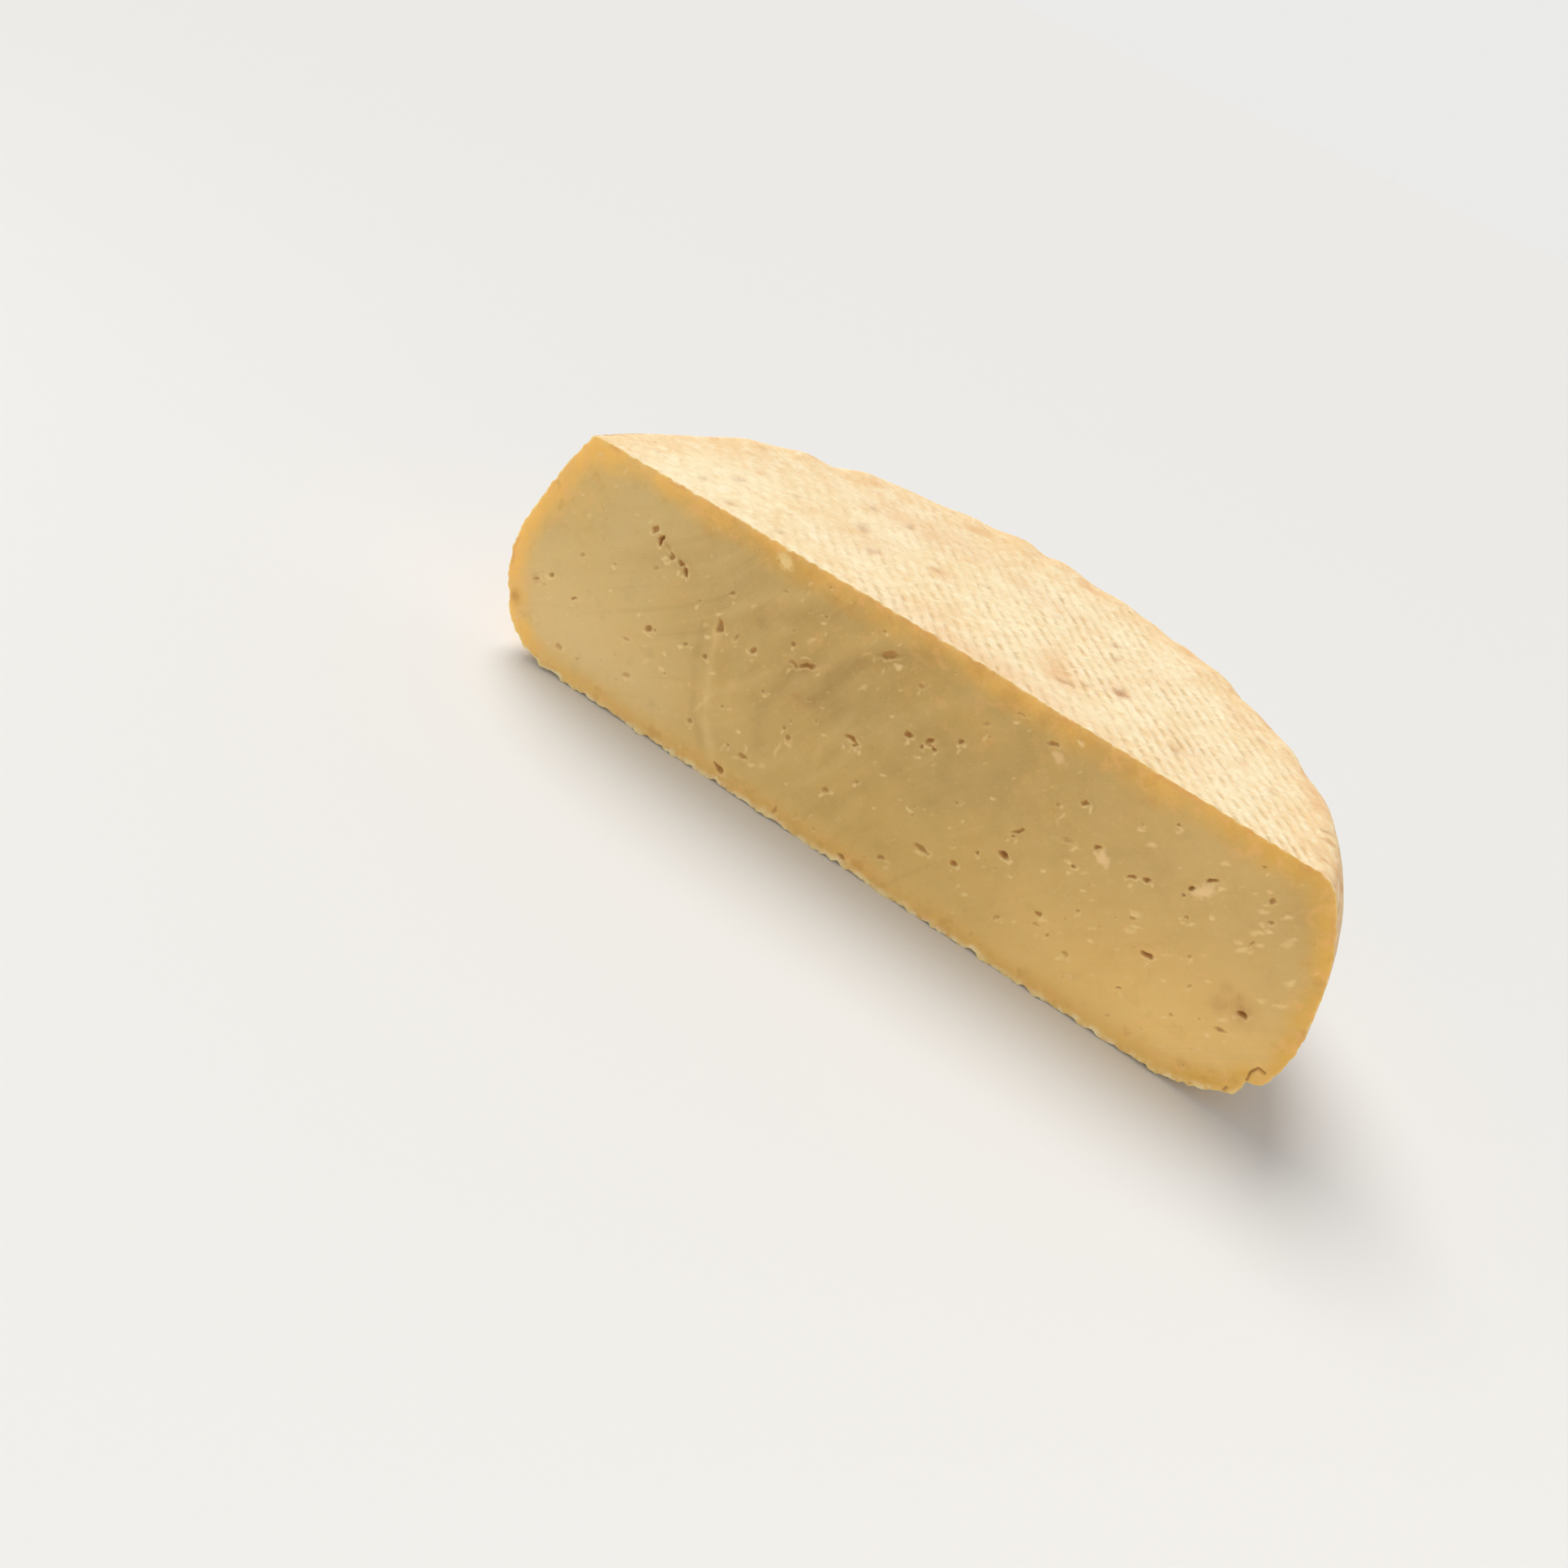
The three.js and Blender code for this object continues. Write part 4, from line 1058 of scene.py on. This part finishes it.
    N.t.links.new(b.outputs[0], N.add("OutputMaterial").inputs[0])
    return N.m


mesh.materials.append(rind_material())
mesh.materials.append(paste_material())
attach(cheese, "root")
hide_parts(NODE)

# ------------------------------------------------------------------ floor, light, camera
KEY, WALL, CEILING = 2.35, 0.83, 0.40


def disc_floor():
    n, radii = 96, (0.4, 1.5, 6.0, 40.0)
    vs, fs = [(0, 0, 0)], []
    for r in radii:
        vs += [(r * math.cos(2 * math.pi * k / n), r * math.sin(2 * math.pi * k / n), 0) for k in range(n)]
    for k in range(n):
        fs.append((0, 1 + k, 1 + (k + 1) % n))
    for j in range(len(radii) - 1):
        for k in range(n):
            a, b = 1 + j * n + k, 1 + j * n + (k + 1) % n
            fs.append((a, a + n, b + n, b))
    me = bpy.data.meshes.new("studio_floor")
    me.from_pydata(vs, [], fs)
    o = bpy.data.objects.new("studio_floor", me)
    bpy.context.scene.collection.objects.link(o)
    m_ = bpy.data.materials.new("studio_floor")
    m_.use_nodes = True
    bs = m_.node_tree.nodes["Principled BSDF"]
    bs.inputs["Base Color"].default_value = (0.80, 0.80, 0.795, 1)
    bs.inputs["Roughness"].default_value = 1.0
    bs.inputs["Specular IOR Level"].default_value = 0.0
    me.materials.append(m_)
    return o


floor = disc_floor()
floor.location = (0, 0, lo.z)

ORIGIN = Vector(SHIFT / 1000)                    # the wheel's axis on the resting face, in the row frame


def lamp(name, kind, direction, energy, colour, size, distance=2.0, target=(0, 0.05, 0.035)):
    d = Vector(direction).normalized()
    data = bpy.data.lights.new(name, kind)
    data.energy = energy
    data.color = colour
    if kind == "SUN":
        data.angle = size
    else:
        data.shape = "DISK"
        data.size = size
    o = bpy.data.objects.new(name, data)
    bpy.context.scene.collection.objects.link(o)
    o.visible_camera = False
    o.matrix_world = Matrix.Translation(ORIGIN + Vector(target) + d * distance) @ d.to_track_quat("Z", "Y").to_matrix().to_4x4()
    return o


lamp("key", "SUN", (-0.55, 0.30, 0.86), KEY, (1.0, 0.98, 0.95), math.radians(38))
lamp("warm", "AREA", (0.80, -0.75, 0.12), 0.72, (1.0, 0.88, 0.72), 0.42, 0.60, (0.05, 0, 0.03))
lamp("left", "AREA", (-0.85, -0.62, 0.16), 0.44, (1.0, 0.94, 0.84), 0.42, 0.60, (-0.05, 0, 0.03))
world = bpy.data.worlds.new("studio")
world.use_nodes = True
wt_ = world.node_tree
bg = wt_.nodes["Background"]
tc_ = wt_.nodes.new("ShaderNodeTexCoord")
sx_ = wt_.nodes.new("ShaderNodeSeparateXYZ")
mr_ = wt_.nodes.new("ShaderNodeMapRange")
mr_.interpolation_type = "SMOOTHSTEP"
wt_.links.new(tc_.outputs["Generated"], sx_.inputs[0])
wt_.links.new(sx_.outputs[2], mr_.inputs["Value"])
mr_.inputs["From Min"].default_value = 0.10
mr_.inputs["From Max"].default_value = 0.45
mr_.inputs["To Min"].default_value = WALL
mr_.inputs["To Max"].default_value = CEILING
wt_.links.new(mr_.outputs["Result"], bg.inputs[1])
bg.inputs[0].default_value = (1.0, 0.995, 0.985, 1)
bpy.context.scene.world = world

# camera: the viewing angle solved from the cut face and the upper face
CAM = np.array([89.79188647, -367.43344302, 209.66577702])
ROWS = np.array([[0.80896494, 0.44851452, 0.38001375], [0.52889266, -0.27312230, -0.80354014], [-0.25660919, 0.85102229, -0.45816241]])
cam_data = bpy.data.cameras.new("camera")
cam_data.sensor_width = 36
cam_data.sensor_height = 36
cam_data.sensor_fit = "HORIZONTAL"
cam_data.lens = 36 * 1950 / 1932
cam_data.clip_start = 0.01
cam_data.clip_end = 50
cam = bpy.data.objects.new("camera", cam_data)
bpy.context.scene.collection.objects.link(cam)
right, up, back = ROWS[0], -ROWS[1], -ROWS[2]
W = Matrix.Identity(4)
for i in range(3):
    W[i][0], W[i][1], W[i][2] = float(right[i]), float(up[i]), float(back[i])
at = (CAM + SHIFT) / 1000
for i in range(3):
    W[i][3] = float(at[i])
cam.matrix_world = W
bpy.context.scene.camera = cam
bpy.context.scene.view_settings.view_transform = "Standard"
bpy.context.scene.view_settings.look = "None"
